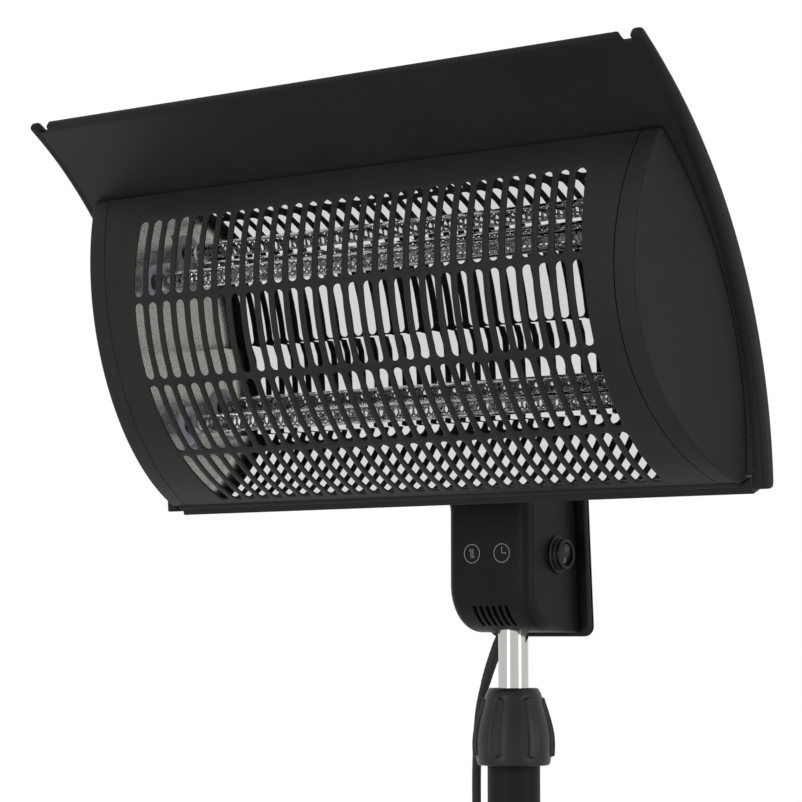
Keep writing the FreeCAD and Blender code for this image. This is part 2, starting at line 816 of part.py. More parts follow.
def build_case():
    """The case shell with its holes, vents and the posts of the touch board."""
    wall = float(d.box_wall)
    shell = case_form(0).cut(case_form(wall))
    bottom = d.box_bottom
    deep = d.box_wall + d.overrun * 2
    tools = [
        upright(d.mast_diameter / 2 + d.seat_gap, deep, 0, 0, bottom - d.overrun),
        upright(d.neck_socket_radius + d.seat_gap, deep, 0, 0, bottom + d.box_height - d.box_wall - d.overrun),
        upright(d.gland_stem_radius + d.seat_gap, deep, -d.gland_side, d.gland_back, bottom - d.overrun),
        upright(d.rocker_body_radius + d.seat_gap, deep, d.box_half_width - d.box_wall - d.overrun,
                ROCKER_PLACE[1], ROCKER_PLACE[2], Vector(1, 0, 0)),
    ]
    front = d.box_front + d.overrun
    for index in range(VENT_COUNT):
        x = d.vent_pitch * (index - (VENT_COUNT - 1) / 2) - d.vent_width / 2
        corner = Vector(float(x), -float(front), float(bottom - d.overrun))
        reach = float(front - d.vent_back)
        tools.append(Part.makeBox(float(d.vent_width), reach, float(d.vent_top + d.overrun), corner))
    shell = shell.cut(tools)
    posts = []
    inner = -d.box_front + d.box_wall
    for x in (-d.touch_board_width * POST_SIDE_SHARE, d.touch_board_width * POST_SIDE_SHARE):
        for rise in (-d.touch_board_height * POST_RISE_SHARE, d.touch_board_height * POST_RISE_SHARE):
            z = bottom + d.touch_board_lift + d.touch_board_height / 2 + rise
            length = d.touch_post_length + d.box_wall / 2
            posts.append(upright(d.post_radius, length, x, inner - d.box_wall / 2, z, Vector(0, 1, 0)))
    shell = shell.fuse(posts)
    feature("control_box", shell.removeSplitter())

    board_front = inner + d.touch_post_length
    board = block("touch_panel", d.touch_board_width, d.board_thickness, d.touch_board_height,
                  0, board_front + d.board_thickness / 2, bottom + d.touch_board_lift)
    node(board, "touch_board")


def build_back_plate():
    """The leaning rear plate with what it carries: boards, relays, tilt switch and screws."""
    place = Placement(Vector(0, float(d.plate_front), float(d.plate_mid_height)), about_x(PLATE_LEAN))
    half = float(d.plate_half_width)
    low = -float(d.plate_drop)
    high = low + float(d.plate_height)
    slab = Part.makeBox(2 * half, float(d.plate_thickness), high - low, Vector(-half, float(d.seat_gap), low))
    uprights = [edge for edge in slab.Edges
                if abs(edge.Vertexes[0].Y - edge.Vertexes[1].Y) > float(d.plate_thickness) / 2]
    slab = slab.makeFillet(float(d.plate_round), uprights)
    posts = []
    for x in (-d.power_post_side, d.power_post_side):
        for z in (-d.power_post_rise, d.power_post_rise):
            posts.append(upright(d.post_radius, d.power_post_length + d.plate_thickness / 2,
                                 x, -d.power_post_length, z, Vector(0, 1, 0)))
    slab = slab.fuse(posts)
    holes = []
    screws = []
    for x in (-d.plate_screw_side, d.plate_screw_side):
        for z in (-d.plate_screw_rise, d.plate_screw_rise):
            back = d.plate_thickness + d.seat_gap
            holes.append(upright(d.plate_screw_radius + d.screw_clearance, d.plate_thickness + d.overrun * 2,
                                 x, -d.overrun, z, Vector(0, 1, 0)))
            shank = upright(d.plate_screw_radius, d.plate_screw_length, x, back - d.plate_screw_length, z,
                            Vector(0, 1, 0))
            head = upright(d.plate_screw_head_radius, d.plate_screw_head_height, x, back, z, Vector(0, 1, 0))
            screws.append(shank.fuse(head).removeSplitter())
    feature("back_plate", slab.cut(holes).removeSplitter(), place)
    feature("back_plate_screws", Part.makeCompound(screws), place)

    board_back = -d.power_post_length
    board = block("supply_board", d.power_board_width, d.board_thickness, d.power_board_height,
                  0, board_back - d.board_thickness / 2, -d.power_board_height / 2)
    node(group("supply_boards", board), "power_board", place)
    relays = [block(f"relay_{side}", d.relay_width, d.relay_depth, d.relay_height,
                    d.relay_spacing * side / 2, board_back + d.relay_depth / 2, 0) for side in (-1, 1)]
    node(group("relays", *relays), "relay_block", place)
    sensor = rod("tilt_sensor", d.tilt_switch_radius, d.tilt_switch_length, d.tilt_switch_side,
                 board_back - d.board_thickness - d.tilt_switch_radius, d.tilt_switch_rise)
    node(group("tilt_sensors", sensor), "tilt_switch", place)


def build_rocker():
    """The round switch: bezel on the wall, cup through it and the rocker on its pin."""
    wall_x, side_y, lift = [float(value) for value in ROCKER_PLACE]
    outward = Placement(Vector(wall_x, side_y, lift), Rotation(Vector(0, 1, 0), 90))
    bore = d.rocker_body_radius + d.snug
    bezel = turned("switch_bezel", [
        (bore, 0), (d.bezel_flange_radius, 0), (d.bezel_flange_radius, d.bezel_flange_height),
        (d.bezel_neck_radius, d.bezel_flange_height + d.board_thickness / 2),
        (d.bezel_neck_radius, d.bezel_step_height), (d.bezel_rim_radius, d.bezel_step_height + d.free_gap * 2),
        (d.bezel_rim_radius, d.bezel_height), (bore, d.bezel_height),
    ])
    node(bezel, "rocker_boot", outward)
    bore = d.rocker_body_radius - d.rocker_body_wall
    floor = d.bezel_height - d.rocker_pivot_depth - d.rocker_radius
    cup = turned("switch_cup", [
        (0, -d.rocker_body_depth), (d.rocker_body_radius, -d.rocker_body_depth),
        (d.rocker_body_radius, d.bezel_height), (bore, d.bezel_height), (bore, floor), (0, floor),
    ])
    node(cup, "rocker_body", outward)
    pivot = d.bezel_height - d.rocker_pivot_depth
    paddle = rod("paddle", d.rocker_radius, d.rocker_thickness, z=-d.rocker_thickness / 2)
    span = bore * 2 - d.free_gap * 2
    pin = rod("paddle_pin", d.rocker_pin_radius, span, y=-span / 2, along="Y")
    lever = node(fuse("lever", paddle, pin), "rocker")
    turn = Rotation(Vector(0, 1, 0), 90 + ROCKER_REST_ANGLE)
    lever.Placement = Placement(Vector(wall_x + float(pivot), side_y, lift), turn)


# Cord's route from the gland down the pole and over the base; points chosen by hand in millimetres

EXIT_TILT = 26.5
CORD_POINTS = [
    (-40.5, 16.5, 1225.0),
    (-45.5, 17.0, 1178.0),
    (-46.5, 18.5, 1116.0),
    (-43.5, 20.5, 1030.0),
    (-43.0, 23.5, 936.0),
    (-47.5, 26.0, 838.0),
    (-49.0, 26.0, 736.0),
    (-45.0, 28.5, 634.0),
    (-42.5, 32.0, 532.0),
    (-45.0, 33.5, 438.0),
    (-49.0, 36.0, 346.0),
    (-52.0, 40.0, 262.0),
    (-56.0, 48.0, 188.0),
    (-61.0, 66.0, 122.0),
    (-64.0, 102.0, 72.0),
    (-63.0, 154.0, 43.5),
    (-57.0, 208.0, 36.5),
    (-51.0, 246.0, 22.0),
]


def exit_direction():
    """The direction in which the lead leaves the gland: down and to the left."""
    angle = math.radians(EXIT_TILT)
    return Vector(-math.sin(angle), 0, -math.cos(angle))


def gland_mouth():
    """Where the boot of the gland starts, in the middle of its flange."""
    drop = float(d.box_bottom - d.gland_flange_height / 2)
    return Vector(-float(d.gland_side), float(d.gland_back), drop)


def build_gland():
    """The cord gland in the box's bottom, with a short boot towards the lead."""
    place = (-d.gland_side, d.gland_back)
    bottom = d.box_bottom
    flange = upright(d.gland_flange_radius, d.gland_flange_height, *place, bottom - d.gland_flange_height)
    stem = upright(d.gland_stem_radius, d.gland_stem_height, *place, bottom)
    nut = upright(d.gland_nut_radius, d.gland_nut_height, *place, bottom + d.box_wall)
    boot = upright(d.boot_radius, d.boot_length, *gland_mouth(), exit_direction())
    feature("cord_gland", flange.fuse([stem, nut, boot]).removeSplitter())


# Neck

def side_plate(points, x, thickness, disc_centre, disc_radius):
    """An ear across X: a polygon in (y, z) and a disc round its pivot."""
    corners = [Vector(float(x), float(y), float(z)) for y, z in points]
    face = Part.Face(Part.makePolygon(corners + corners[:1]))
    ear = face.extrude(Vector(float(thickness), 0, 0))
    disc = upright(disc_radius, thickness, x, *disc_centre, Vector(1, 0, 0))
    return ear.fuse(disc)


def build_neck():
    """The bracket on top of the mast, its clamp screw and the pivot."""
    top = float(d.box_bottom + d.box_height)
    thick = float(d.neck_thickness)
    front = -float(d.neck_plate_front)
    back = float(d.neck_plate_back)
    half = float(d.neck_plate_width) / 2
    plate = Part.makeBox(2 * half, back - front, thick, Vector(-half, front, top))
    socket = upright(d.neck_socket_radius, d.neck_socket_length, 0, 0, top - float(d.neck_socket_length))
    pivot = (-float(d.pivot_forward), float(d.pivot_height))
    middle = ((front + back) / 2, top)
    reach = math.hypot(pivot[0] - middle[0], pivot[1] - middle[1])
    across = ((pivot[1] - middle[1]) / reach, -(pivot[0] - middle[0]) / reach)
    round_size = float(d.neck_ear_round)
    ears = []
    corners = [
        (back, top), (front, top),
        (pivot[0] - across[0] * round_size, pivot[1] - across[1] * round_size),
        (pivot[0] + across[0] * round_size, pivot[1] + across[1] * round_size),
    ]
    for x in (-half, half - thick):
        ears.append(side_plate(corners, x, thick, pivot, round_size))
    bracket = plate.fuse([socket] + ears)
    tools = [
        upright(d.mast_diameter / 2 + d.snug, d.neck_socket_length + d.neck_thickness * 2, 0, 0,
                top - float(d.neck_socket_length) - thick / 2),
        upright(d.pivot_radius + d.snug, d.neck_plate_width * 2, -half * 2, *pivot, Vector(1, 0, 0)),
        upright(d.neck_screw_radius + d.snug, d.neck_socket_radius, -float(d.neck_socket_radius) - thick / 2,
                0, top - float(d.neck_screw_height), Vector(1, 0, 0)),
    ]
    feature("neck_bracket", bracket.cut(tools).removeSplitter())

    wall = d.neck_socket_radius - d.mast_diameter / 2
    screw_z = top - float(d.neck_screw_height)
    shank = upright(d.neck_screw_radius, wall, -d.neck_socket_radius - d.snug, 0, screw_z, Vector(1, 0, 0))
    head = upright(d.neck_screw_head_radius, d.neck_screw_radius, -d.neck_socket_radius - d.neck_screw_radius,
                   0, screw_z, Vector(1, 0, 0))
    feature("neck_screw", shank.fuse(head).removeSplitter())

    length = d.neck_plate_width + d.pivot_tail
    start = -d.neck_plate_width / 2
    shank = rod("pivot_shank", d.pivot_radius, length, start, pivot[0], pivot[1], "X")
    head = rod("pivot_head", d.pivot_head_radius, d.pivot_head_height, start - d.pivot_head_height,
               pivot[0], pivot[1], "X")
    node(fuse("pivot_rod", shank, head), "pivot_bolt")
    washers = []
    inner = d.neck_plate_width / 2 - d.neck_thickness
    outer_face = d.head_ear_offset + d.bracket_ear_thickness
    for index, x in enumerate((outer_face + d.seat_gap, -inner + d.seat_gap)):
        washers.append(tube(f"washer_{index}", d.washer_radius, d.pivot_radius + d.screw_clearance,
                            d.washer_thickness, x, pivot[0], pivot[1], "X"))
    node(group("washers", *washers), "pivot_washers")

    face = d.neck_plate_width / 2 + d.free_gap
    grip = d.knob_length * KNOB_GRIP_SHARE
    hub = rod("knob_hub", d.knob_hub_radius, d.knob_length, face, pivot[0], pivot[1], "X")
    lobes = []
    for index, (y, z) in enumerate(ring_places(5, d.knob_lobe_circle)):
        lobes.append(rod(f"knob_lobe_{index}", d.knob_lobe_radius, grip, face + d.knob_length - grip,
                         pivot[0] + y, pivot[1] + z, "X"))
    disc = rod("knob_disc", d.knob_lobe_circle, grip, face + d.knob_length - grip, pivot[0], pivot[1], "X")
    bore = rod("knob_bore", d.pivot_radius + d.snug, d.pivot_tail + d.snug - d.free_gap, face,
               pivot[0], pivot[1], "X")
    node(cut("knob", fuse("knob_form", hub, disc, *lobes), bore), "tilt_knob")


# Head

def arc_rod(radius, length, x, start, angle):
    """A cylinder that points away from the canopy's centre at an angle."""
    turn = math.radians(angle)
    direction = Vector(0, math.cos(turn), math.sin(turn))
    foot = direction * float(start)
    return Part.makeCylinder(float(radius), float(length), Vector(float(x), 0, 0) + foot, direction)


def bracket_rod(radius, length, x, start, z):
    """A cylinder square to the bracket's plate, in the bracket's frame."""
    return upright(radius, length, x, start, z, Vector(0, 1, 0))


def bracket_places():
    """Places in the bracket's plate of its four bolts."""
    for x in (-d.bracket_bolt_side, d.bracket_bolt_side):
        for z in (-d.bracket_bolt_rise, d.bracket_bolt_rise):
            yield x, z


def cap_screw_places():
    """Two screws at each end of the canopy, above and below its middle."""
    side = d.cap_half_width - d.cap_rim / 2 + d.cap_wall
    for x in (-side, side):
        for angle in (-float(d.cap_screw_angle), float(d.cap_screw_angle)):
            yield x, angle + (float(d.hood_high_angle) - float(d.hood_low_angle)) * CAP_SCREW_SHARE


def lip_trimmer():
    """The space outside the lips: their outer edge is an arc of its own, so they get thinner towards the tip."""
    half = float(d.hood_half_width)
    outer = float(d.hood_outer_radius)
    edge = float(d.hood_lip_edge)
    inboard = half - float(d.hood_lip_width)
    beyond = float(d.overrun)
    soft = edge / 2
    right = [
        (half - edge, outer), (half + beyond, outer - edge - beyond), (half + beyond, outer + edge * 10),
    ]
    middle = [(-inboard + beyond, outer - soft), (inboard - beyond, outer - soft), (inboard + soft, outer)]
    middle.insert(0, (-inboard - soft, outer))
    left = [(-x, y) for x, y in reversed(right)]
    points = [Vector(x, y, 0) for x, y in middle + right + left]
    ring = Part.Face(Part.makePolygon(points + points[:1])).revolve(Vector(0, 0, 0), Vector(1, 0, 0), 360)
    ring.Placement = Placement(Vector(0, float(d.hood_outer_back), -float(d.hood_outer_drop)), Rotation())
    return ring


def build_hood():
    """The canopy: a thin curved panel between thick rounded end lips that taper towards the tip."""
    body = doc.addObject("PartDesign::Body", "hood_form")
    sketch = sketch_on(body, "hood_section", "XY_Plane")
    half = d.hood_half_width
    lip = half - d.hood_lip_width
    inner = d.hood_inner_radius
    panel = inner + d.hood_wall
    outer = inner + d.hood_lip_depth + d.hood_lip_spare
    edge = d.hood_lip_edge
    right = [(half - edge, inner), (half, inner + edge), (half, outer), (lip, outer), (lip, panel)]
    left = [(-x, y) for x, y in reversed(right)]
    outline(sketch, right + left)
    turn = body.newObject("PartDesign::Revolution", "hood_turn")
    turn.Profile = sketch
    turn.ReferenceAxis = (sketch, ["H_Axis"])
    turn.Midplane = True
    bind(turn, Angle=d.hood_low_angle + d.hood_high_angle)
    middle = (float(d.hood_high_angle) - float(d.hood_low_angle)) / 2
    body.Placement = Placement(Vector(0, 0, 0), about_x(middle))
    doc.recompute()
    drills = []
    depth = d.hood_wall + d.overrun * 2
    lean = Placement(Vector(0, 0, 0), about_x(-float(d.bracket_low_angle)))
    for x, z in bracket_places():
        drill = bracket_rod(d.bracket_bolt_radius + d.screw_clearance, depth, x, inner - d.overrun, z)
        drill.Placement = lean.multiply(drill.Placement)
        drills.append(drill)
    for x, angle in cap_screw_places():
        drills.append(arc_rod(d.cap_screw_radius + d.screw_clearance, depth, x, inner - d.overrun, angle))
    drill = doc.addObject("Part::Feature", "hood_drills")
    drill.Shape = Part.makeCompound(drills + [lip_trimmer()])
    node(cut("hood", body, drill), "hood_shell", ARC)


def cap_plane(forward, offset=0):
    """Where the slanted end face crosses a profile place, moved inboard by an offset."""
    corner = float(d.grille_radius) * math.sqrt(0.5)
    return float(d.cap_half_width) - float(d.cap_slant_share) * (float(forward) - corner) - float(offset)


def slanted_slab(inboard, outboard):
    """The space between two planes parallel to the right end face."""
    back = float(d.rail_back) - float(d.overrun) * 2
    front = float(d.grille_radius + d.overrun)
    low = -float(d.rail_bottom)
    points = [
        at(back, low, cap_plane(back, outboard)), at(front, low, cap_plane(front, outboard)),
        at(front, low, cap_plane(front, inboard)), at(back, low, cap_plane(back, inboard)),
    ]
    face = Part.Face(Part.makePolygon(points + points[:1]))
    return face.extrude(Vector(0, 0, float(d.rail_bottom + d.hood_inner_radius)))


def section_top(front_radius, back_radius):
    """The height at which the grille's arc and the canopy's arc come within the cap's top width."""
    width = float(d.cap_top_width)
    across = float(d.hood_centre_forward) + width
    drop = float(d.hood_centre_drop)
    apart = math.hypot(across, drop)
    along = (apart ** 2 + front_radius ** 2 - back_radius ** 2) / (2 * apart)
    aside = math.sqrt(front_radius ** 2 - along ** 2)
    return (across * aside - drop * along) / apart


def head_section(inset, x, length, back_inset=None):
    """The D-shaped section between grille and canopy, as a prism along X."""
    radius = float(d.grille_radius) - inset
    back_radius = float(d.hood_inner_radius - d.seat_gap) - (inset if back_inset is None else back_inset)
    low = -float(d.rail_lip_top) + float(d.seat_gap) + inset
    centre = (float(d.hood_centre_forward), -float(d.hood_centre_drop))
    high = section_top(radius, back_radius)
    front_top = at(math.sqrt(radius ** 2 - high ** 2), high, x)
    front_low = at(math.sqrt(radius ** 2 - low ** 2), low, x)
    front_mid = at(radius, 0, x)
    back_low = at(circle_height(*centre, back_radius, low), low, x)
    back_top = at(circle_height(*centre, back_radius, high), high, x)
    back_mid = at(circle_height(*centre, back_radius, (low + high) / 2), (low + high) / 2, x)
    edges = [
        Part.Arc(front_top, front_mid, front_low).toShape(), Part.makeLine(front_low, back_low),
        Part.Arc(back_low, back_mid, back_top).toShape(),
    ]
    edges.append(Part.makeLine(back_top, front_top))
    return wire_face(edges).extrude(Vector(float(length), 0, 0))


def mirrored(shape):
    """The left-hand copy of a right-hand shape."""
    return shape.mirror(Vector(0, 0, 0), Vector(1, 0, 0))


def build_caps():
    """The two end caps: a slanted face with a rim round it, open towards the middle."""
    start = float(d.reflector_half_width)
    reach = float(d.hood_half_width) - start
    outside = head_section(0, start, reach).common(slanted_slab(d.cap_rim, 0))
    hollow = head_section(float(d.cap_wall), start, reach)
    hollow = hollow.common(slanted_slab(d.cap_rim + d.overrun, d.cap_wall))
    cap = outside.cut(hollow)
    bosses = []
    drills = []
    into_head = HEAD.inverse().multiply(ARC)
    for x, angle in cap_screw_places():
        if float(x) < 0:
            continue
        boss = arc_rod(d.cap_boss_radius, d.cap_screw_length, x,
                       d.hood_inner_radius - d.seat_gap - d.cap_screw_length, angle)
        boss.Placement = into_head.multiply(boss.Placement)
        bosses.append(boss.common(outside))
        drill = arc_rod(d.cap_screw_radius + d.snug, d.cap_screw_length + d.overrun, x,
                        d.hood_inner_radius - d.cap_screw_length, angle)
        drill.Placement = into_head.multiply(drill.Placement)
        drills.append(drill)
    cap = cap.fuse(bosses).cut(drills).removeSplitter()
    feature("end_cap_right", cap, HEAD)
    feature("end_cap_left", mirrored(cap), HEAD)

    screws = []
    for x, angle in cap_screw_places():
        seat = d.hood_inner_radius + d.hood_wall
        length = d.hood_wall + d.cap_screw_length - d.seat_gap * 2
        shank = arc_rod(d.cap_screw_radius, length, x, seat - length, angle)
        head = arc_rod(d.cap_screw_head_radius, d.cap_screw_head_height, x, seat, angle)
        screws.append(shank.fuse(head).removeSplitter())
    feature("cap_screws", Part.makeCompound(screws), ARC)


def slot_prism():
    """A pill-shaped prism along Z that cuts one slot."""
    half = float(d.slot_width) / 2
    run = float(d.slot_length) / 2 - half
    low = Part.Arc(Vector(-half, -run, 0), Vector(0, -run - half, 0), Vector(half, -run, 0)).toShape()
    high = Part.Arc(Vector(half, run, 0), Vector(0, run + half, 0), Vector(-half, run, 0)).toShape()
    sides = [
        Part.makeLine(Vector(half, -run, 0), Vector(half, run, 0)),
        Part.makeLine(Vector(-half, run, 0), Vector(-half, -run, 0)),
    ]
    depth = float(d.grille_wall + d.overrun * 2)
    return wire_face([low, sides[0], high, sides[1]]).extrude(Vector(0, 0, depth))


def build_grille():
    """The bowed front sheet with its field of slots, cut to the slanted grooves at both ends."""
    outer = float(d.grille_radius)
    inner = outer - float(d.grille_wall)
    high = math.asin(section_top(outer, float(d.hood_inner_radius - d.seat_gap)) / outer)
    low = -math.asin(float(d.rail_lip_top - d.seat_gap) / outer)
    half = float(d.cap_half_width)

    def edge_point(radius, angle):
        return at(radius * math.cos(angle), radius * math.sin(angle), -half)

    middle = (high + low) / 2
    arcs = [Part.Arc(edge_point(radius, high), edge_point(radius, middle), edge_point(radius, low)).toShape()
            for radius in (outer, inner)]
    ends = [Part.makeLine(edge_point(outer, angle), edge_point(inner, angle)) for angle in (high, low)]
    sheet_form = wire_face(arcs + ends).extrude(Vector(2 * half, 0, 0))
    groove = d.cap_rim + d.cap_groove
    right = slanted_slab(groove, -d.rail_bottom)
    sheet_form = sheet_form.cut([right, mirrored(right)])
    prism = slot_prism()
    tools = []
    for row in range(SLOT_ROWS):
        angle = float(d.slot_first_angle) - float(d.slot_row_angle) * row
        turn = about_x(90 - angle)
        foot_radius = inner - float(d.overrun)
        up = foot_radius * math.sin(math.radians(angle))
        forward = foot_radius * math.cos(math.radians(angle))
        for column in range(SLOT_COLUMNS):
            x = (column - (SLOT_COLUMNS - 1) / 2) * float(d.slot_pitch)
            tool = prism.copy()
            tool.Placement = Placement(at(forward, up, x), turn)
            tools.append(tool)
    feature("front_grille", sheet_form.cut(tools), HEAD)


def build_rail():
    """The stepped rail that closes the head below the grille."""
    lip = d.rail_lip_front - d.rail_lip_back
    bar = d.rail_front - d.rail_back
    upper = block("rail_lip", d.cap_half_width * 2, lip, d.rail_lip_bottom - d.rail_lip_top,
                  0, -(d.rail_lip_front + d.rail_lip_back) / 2, -d.rail_lip_bottom)
    lower = block("rail_bar", d.rail_half_width * 2, bar, d.rail_bottom - d.rail_lip_bottom,
                  0, -(d.rail_front + d.rail_back) / 2, -d.rail_bottom)
    node(fuse("rail", upper, lower), "bottom_rail", HEAD)


def folded_strip(points, wall):
    """A closed outline for a folded sheet: its front line and the same line one wall further back."""
    front = [Vector(forward, up, 0) for forward, up in points]
    back = []
    for index, point in enumerate(front):
        before = front[max(index - 1, 0)]
        after = front[min(index + 1, len(front) - 1)]
        along = (after - before).normalize()
        away = Vector(-along.y, along.x, 0)
        if away.x > 0:
            away = away * -1
        back.append(point + away * wall)
    return [(point.x, point.y) for point in front + back[::-1]]


def reflector_top():
    """The height of the back reflector's upper edge, below the top of the end section."""
    top = section_top(float(d.grille_radius), float(d.hood_inner_radius - d.seat_gap))
    return top - float(d.reflector_top_drop)


def build_reflector():
    """The folded back reflector and the two end reflectors with their holes."""
    top = reflector_top()
    end = float(d.reflector_rail_gap - d.rail_lip_top)
    profile = [
        (hood_back(top) + float(d.reflector_top_gap), top),
        (hood_back(d.reflector_bend_rise) + float(d.reflector_bend_gap), float(d.reflector_bend_rise)),
        (hood_back(-d.reflector_crease_drop) + float(d.reflector_crease_gap), -float(d.reflector_crease_drop)),
        (hood_back(-d.reflector_fold_drop) + float(d.reflector_fold_gap), -float(d.reflector_fold_drop)),
        (hood_back(-d.reflector_low_drop) + float(d.reflector_low_gap), -float(d.reflector_low_drop)),
        (hood_back(end) + float(d.reflector_end_gap), end),
    ]
    half = float(d.reflector_half_width)
    corners = [at(forward, up, -half) for forward, up in folded_strip(profile, float(d.reflector_wall))]
    face = Part.Face(Part.makePolygon(corners + corners[:1]))
    feature("back_reflector", face.extrude(Vector(2 * half, 0, 0)), HEAD)

    inset = float(d.grille_wall + d.free_gap)
    housing_front = float(d.housing_gap + d.housing_wall)
    plate = head_section(inset, half, float(d.reflector_wall), housing_front)
    holes = []
    for up in (d.quartz_upper_rise, -d.quartz_lower_drop):
        holes.append(upright(d.bush_body_radius + d.seat_gap, d.reflector_wall + d.overrun * 2,
                             half - float(d.overrun), -d.quartz_forward, up, Vector(1, 0, 0)))
        for side in (-1, 1):
            holes.append(upright(d.bush_screw_radius + d.seat_gap, d.reflector_wall + d.overrun * 2,
                                 half - float(d.overrun), -d.quartz_forward,
                                 float(up) + side * float(d.bush_screw_offset), Vector(1, 0, 0)))
    plate = plate.cut(holes)
    feature("end_reflector_right", plate, HEAD)
    feature("end_reflector_left", mirrored(plate), HEAD)


def build_housing():
    """The thin heat shield just in front of the canopy's inner face."""
    body = doc.addObject("PartDesign::Body", "housing_form")
    sketch = sketch_on(body, "housing_section", "XY_Plane")
    half = d.housing_half_width
    outer = d.hood_inner_radius - d.housing_gap
    inner = outer - d.housing_wall
    outline(sketch, [(-half, inner), (half, inner), (half, outer), (-half, outer)])
    turn = body.newObject("PartDesign::Revolution", "housing_turn")
    turn.Profile = sketch
    turn.ReferenceAxis = (sketch, ["H_Axis"])
    turn.Midplane = True
    low = float(d.hood_low_angle)
    rise = reflector_top() + float(d.hood_centre_drop)
    high = math.degrees(math.asin(rise / float(d.hood_inner_radius)))
    turn.Angle = low + high
    place = ARC.multiply(Placement(Vector(0, 0, 0), about_x((high - low) / 2)))
    node(body, "inner_housing", place)


def biarc(start, start_tangent, end, end_tangent):
    """Two arcs from one point and direction to another."""
    chord = end - start
    both = start_tangent + end_tangent
    bend = 2 * (1 - start_tangent.dot(end_tangent))
    if abs(bend) < NEARLY_ZERO:
        reach = chord.dot(chord) / (4 * chord.dot(end_tangent))
    else:
        reach = (-chord.dot(both) + math.sqrt(chord.dot(both) ** 2 + bend * chord.dot(chord))) / bend
    joint = (start + end + (start_tangent - end_tangent) * reach) / 2
    return [tangent_arc(start, start_tangent, joint), tangent_arc(joint, None, end, end_tangent)]


def tangent_arc(start, start_tangent, end, end_tangent=None):
    """An arc between two points with its direction given at one of them."""
    chord = end - start
    if start_tangent is None:
        near, far = end, start
        tangent = end_tangent * -1
        chord = chord * -1
    else:
        near, far = start, end
        tangent = start_tangent
    across = chord - tangent * chord.dot(tangent)
    if across.Length < NEARLY_ZERO:
        return Part.LineSegment(start, end).toShape()
    across.normalize()
    radius = chord.dot(chord) / (2 * chord.dot(across))
    centre = near + across * radius
    bisector = (near + far) / 2 - centre
    if bisector.Length < NEARLY_ZERO:
        middle = centre + tangent * radius
    else:
        middle = centre + bisector.normalize() * radius
        if chord.dot(tangent) < 0:
            middle = centre - bisector * radius
    return Part.Arc(start, middle, end).toShape()


def least_gap(points, apart, thickness):
    """The least gap of a winding to itself, measured between points at least so many steps apart."""
    least = min((points[first] - points[second]).Length
                for first in range(len(points)) for second in range(first + apart, len(points)))
    return least - float(thickness)


def swept_tube(edges, radius, direction):
    """A round tube along a path of tangent edges, by a pipe shell in its default mode."""
    path = Part.Wire(edges)
    start = edges[0].Vertexes[0].Point
    ring = Part.Wire([Part.Circle(start, direction, float(radius)).toShape()])
    solid = path.makePipeShell([ring], True, False)
    if solid.Volume < 0:
        solid.reverse()
    return solid, path.Length


def helix_point(radius, pitch, turn, x):
    """A point and direction of a helix along X at a turn counted from its start."""
    angle = 2 * math.pi * turn
    rise = float(pitch) / (2 * math.pi)
    point = Vector(x + float(pitch) * turn, radius * math.cos(angle), radius * math.sin(angle))
    tangent = Vector(rise, -radius * math.sin(angle), radius * math.cos(angle)).normalize()
    return point, tangent


def build_quartz():
    """The two quartz tubes and the wound wires inside them."""
    outer = d.quartz_diameter / 2
    names = (("upper", d.quartz_upper_rise), ("lower", -d.quartz_lower_drop))
    radius = float(d.coil_radius)
    start = -float(d.coil_pitch) * COIL_TURNS / 2
    samples = [helix_point(radius, d.coil_pitch, step / 2, start) for step in range(COIL_TURNS * 2 + 1)]
    edges = []
    for (point, tangent), (next_point, next_tangent) in zip(samples, samples[1:]):
        edges += biarc(point, tangent, next_point, next_tangent)
    wire, length = swept_tube(edges, d.coil_wire / 2, samples[0][1])
    dense = [helix_point(radius, d.coil_pitch, step / DENSE_STEPS, start)[0]
             for step in range(3 * DENSE_STEPS)]
    gap = least_gap(dense, DENSE_STEPS // 2, d.coil_wire)
    print("heating coil", COIL_TURNS, "turns, wire", round(length), "mm, least gap", round(gap, 2),
          "mm, volume share", round(wire.Volume / (length * math.pi * float(d.coil_wire / 2) ** 2), 4))
    for name, up in names:
        tube_thing = tube(f"quartz_{name}", outer, outer - d.quartz_wall, d.quartz_half_length * 2,
                          -d.quartz_half_length, -d.quartz_forward, up, "X")
        node(tube_thing, f"quartz_tube_{name}", HEAD)
        shape = wire.copy()
        place = HEAD.multiply(Placement(at(d.quartz_forward, up), Rotation()))
        feature(f"heating_coil_{name}", shape, place)


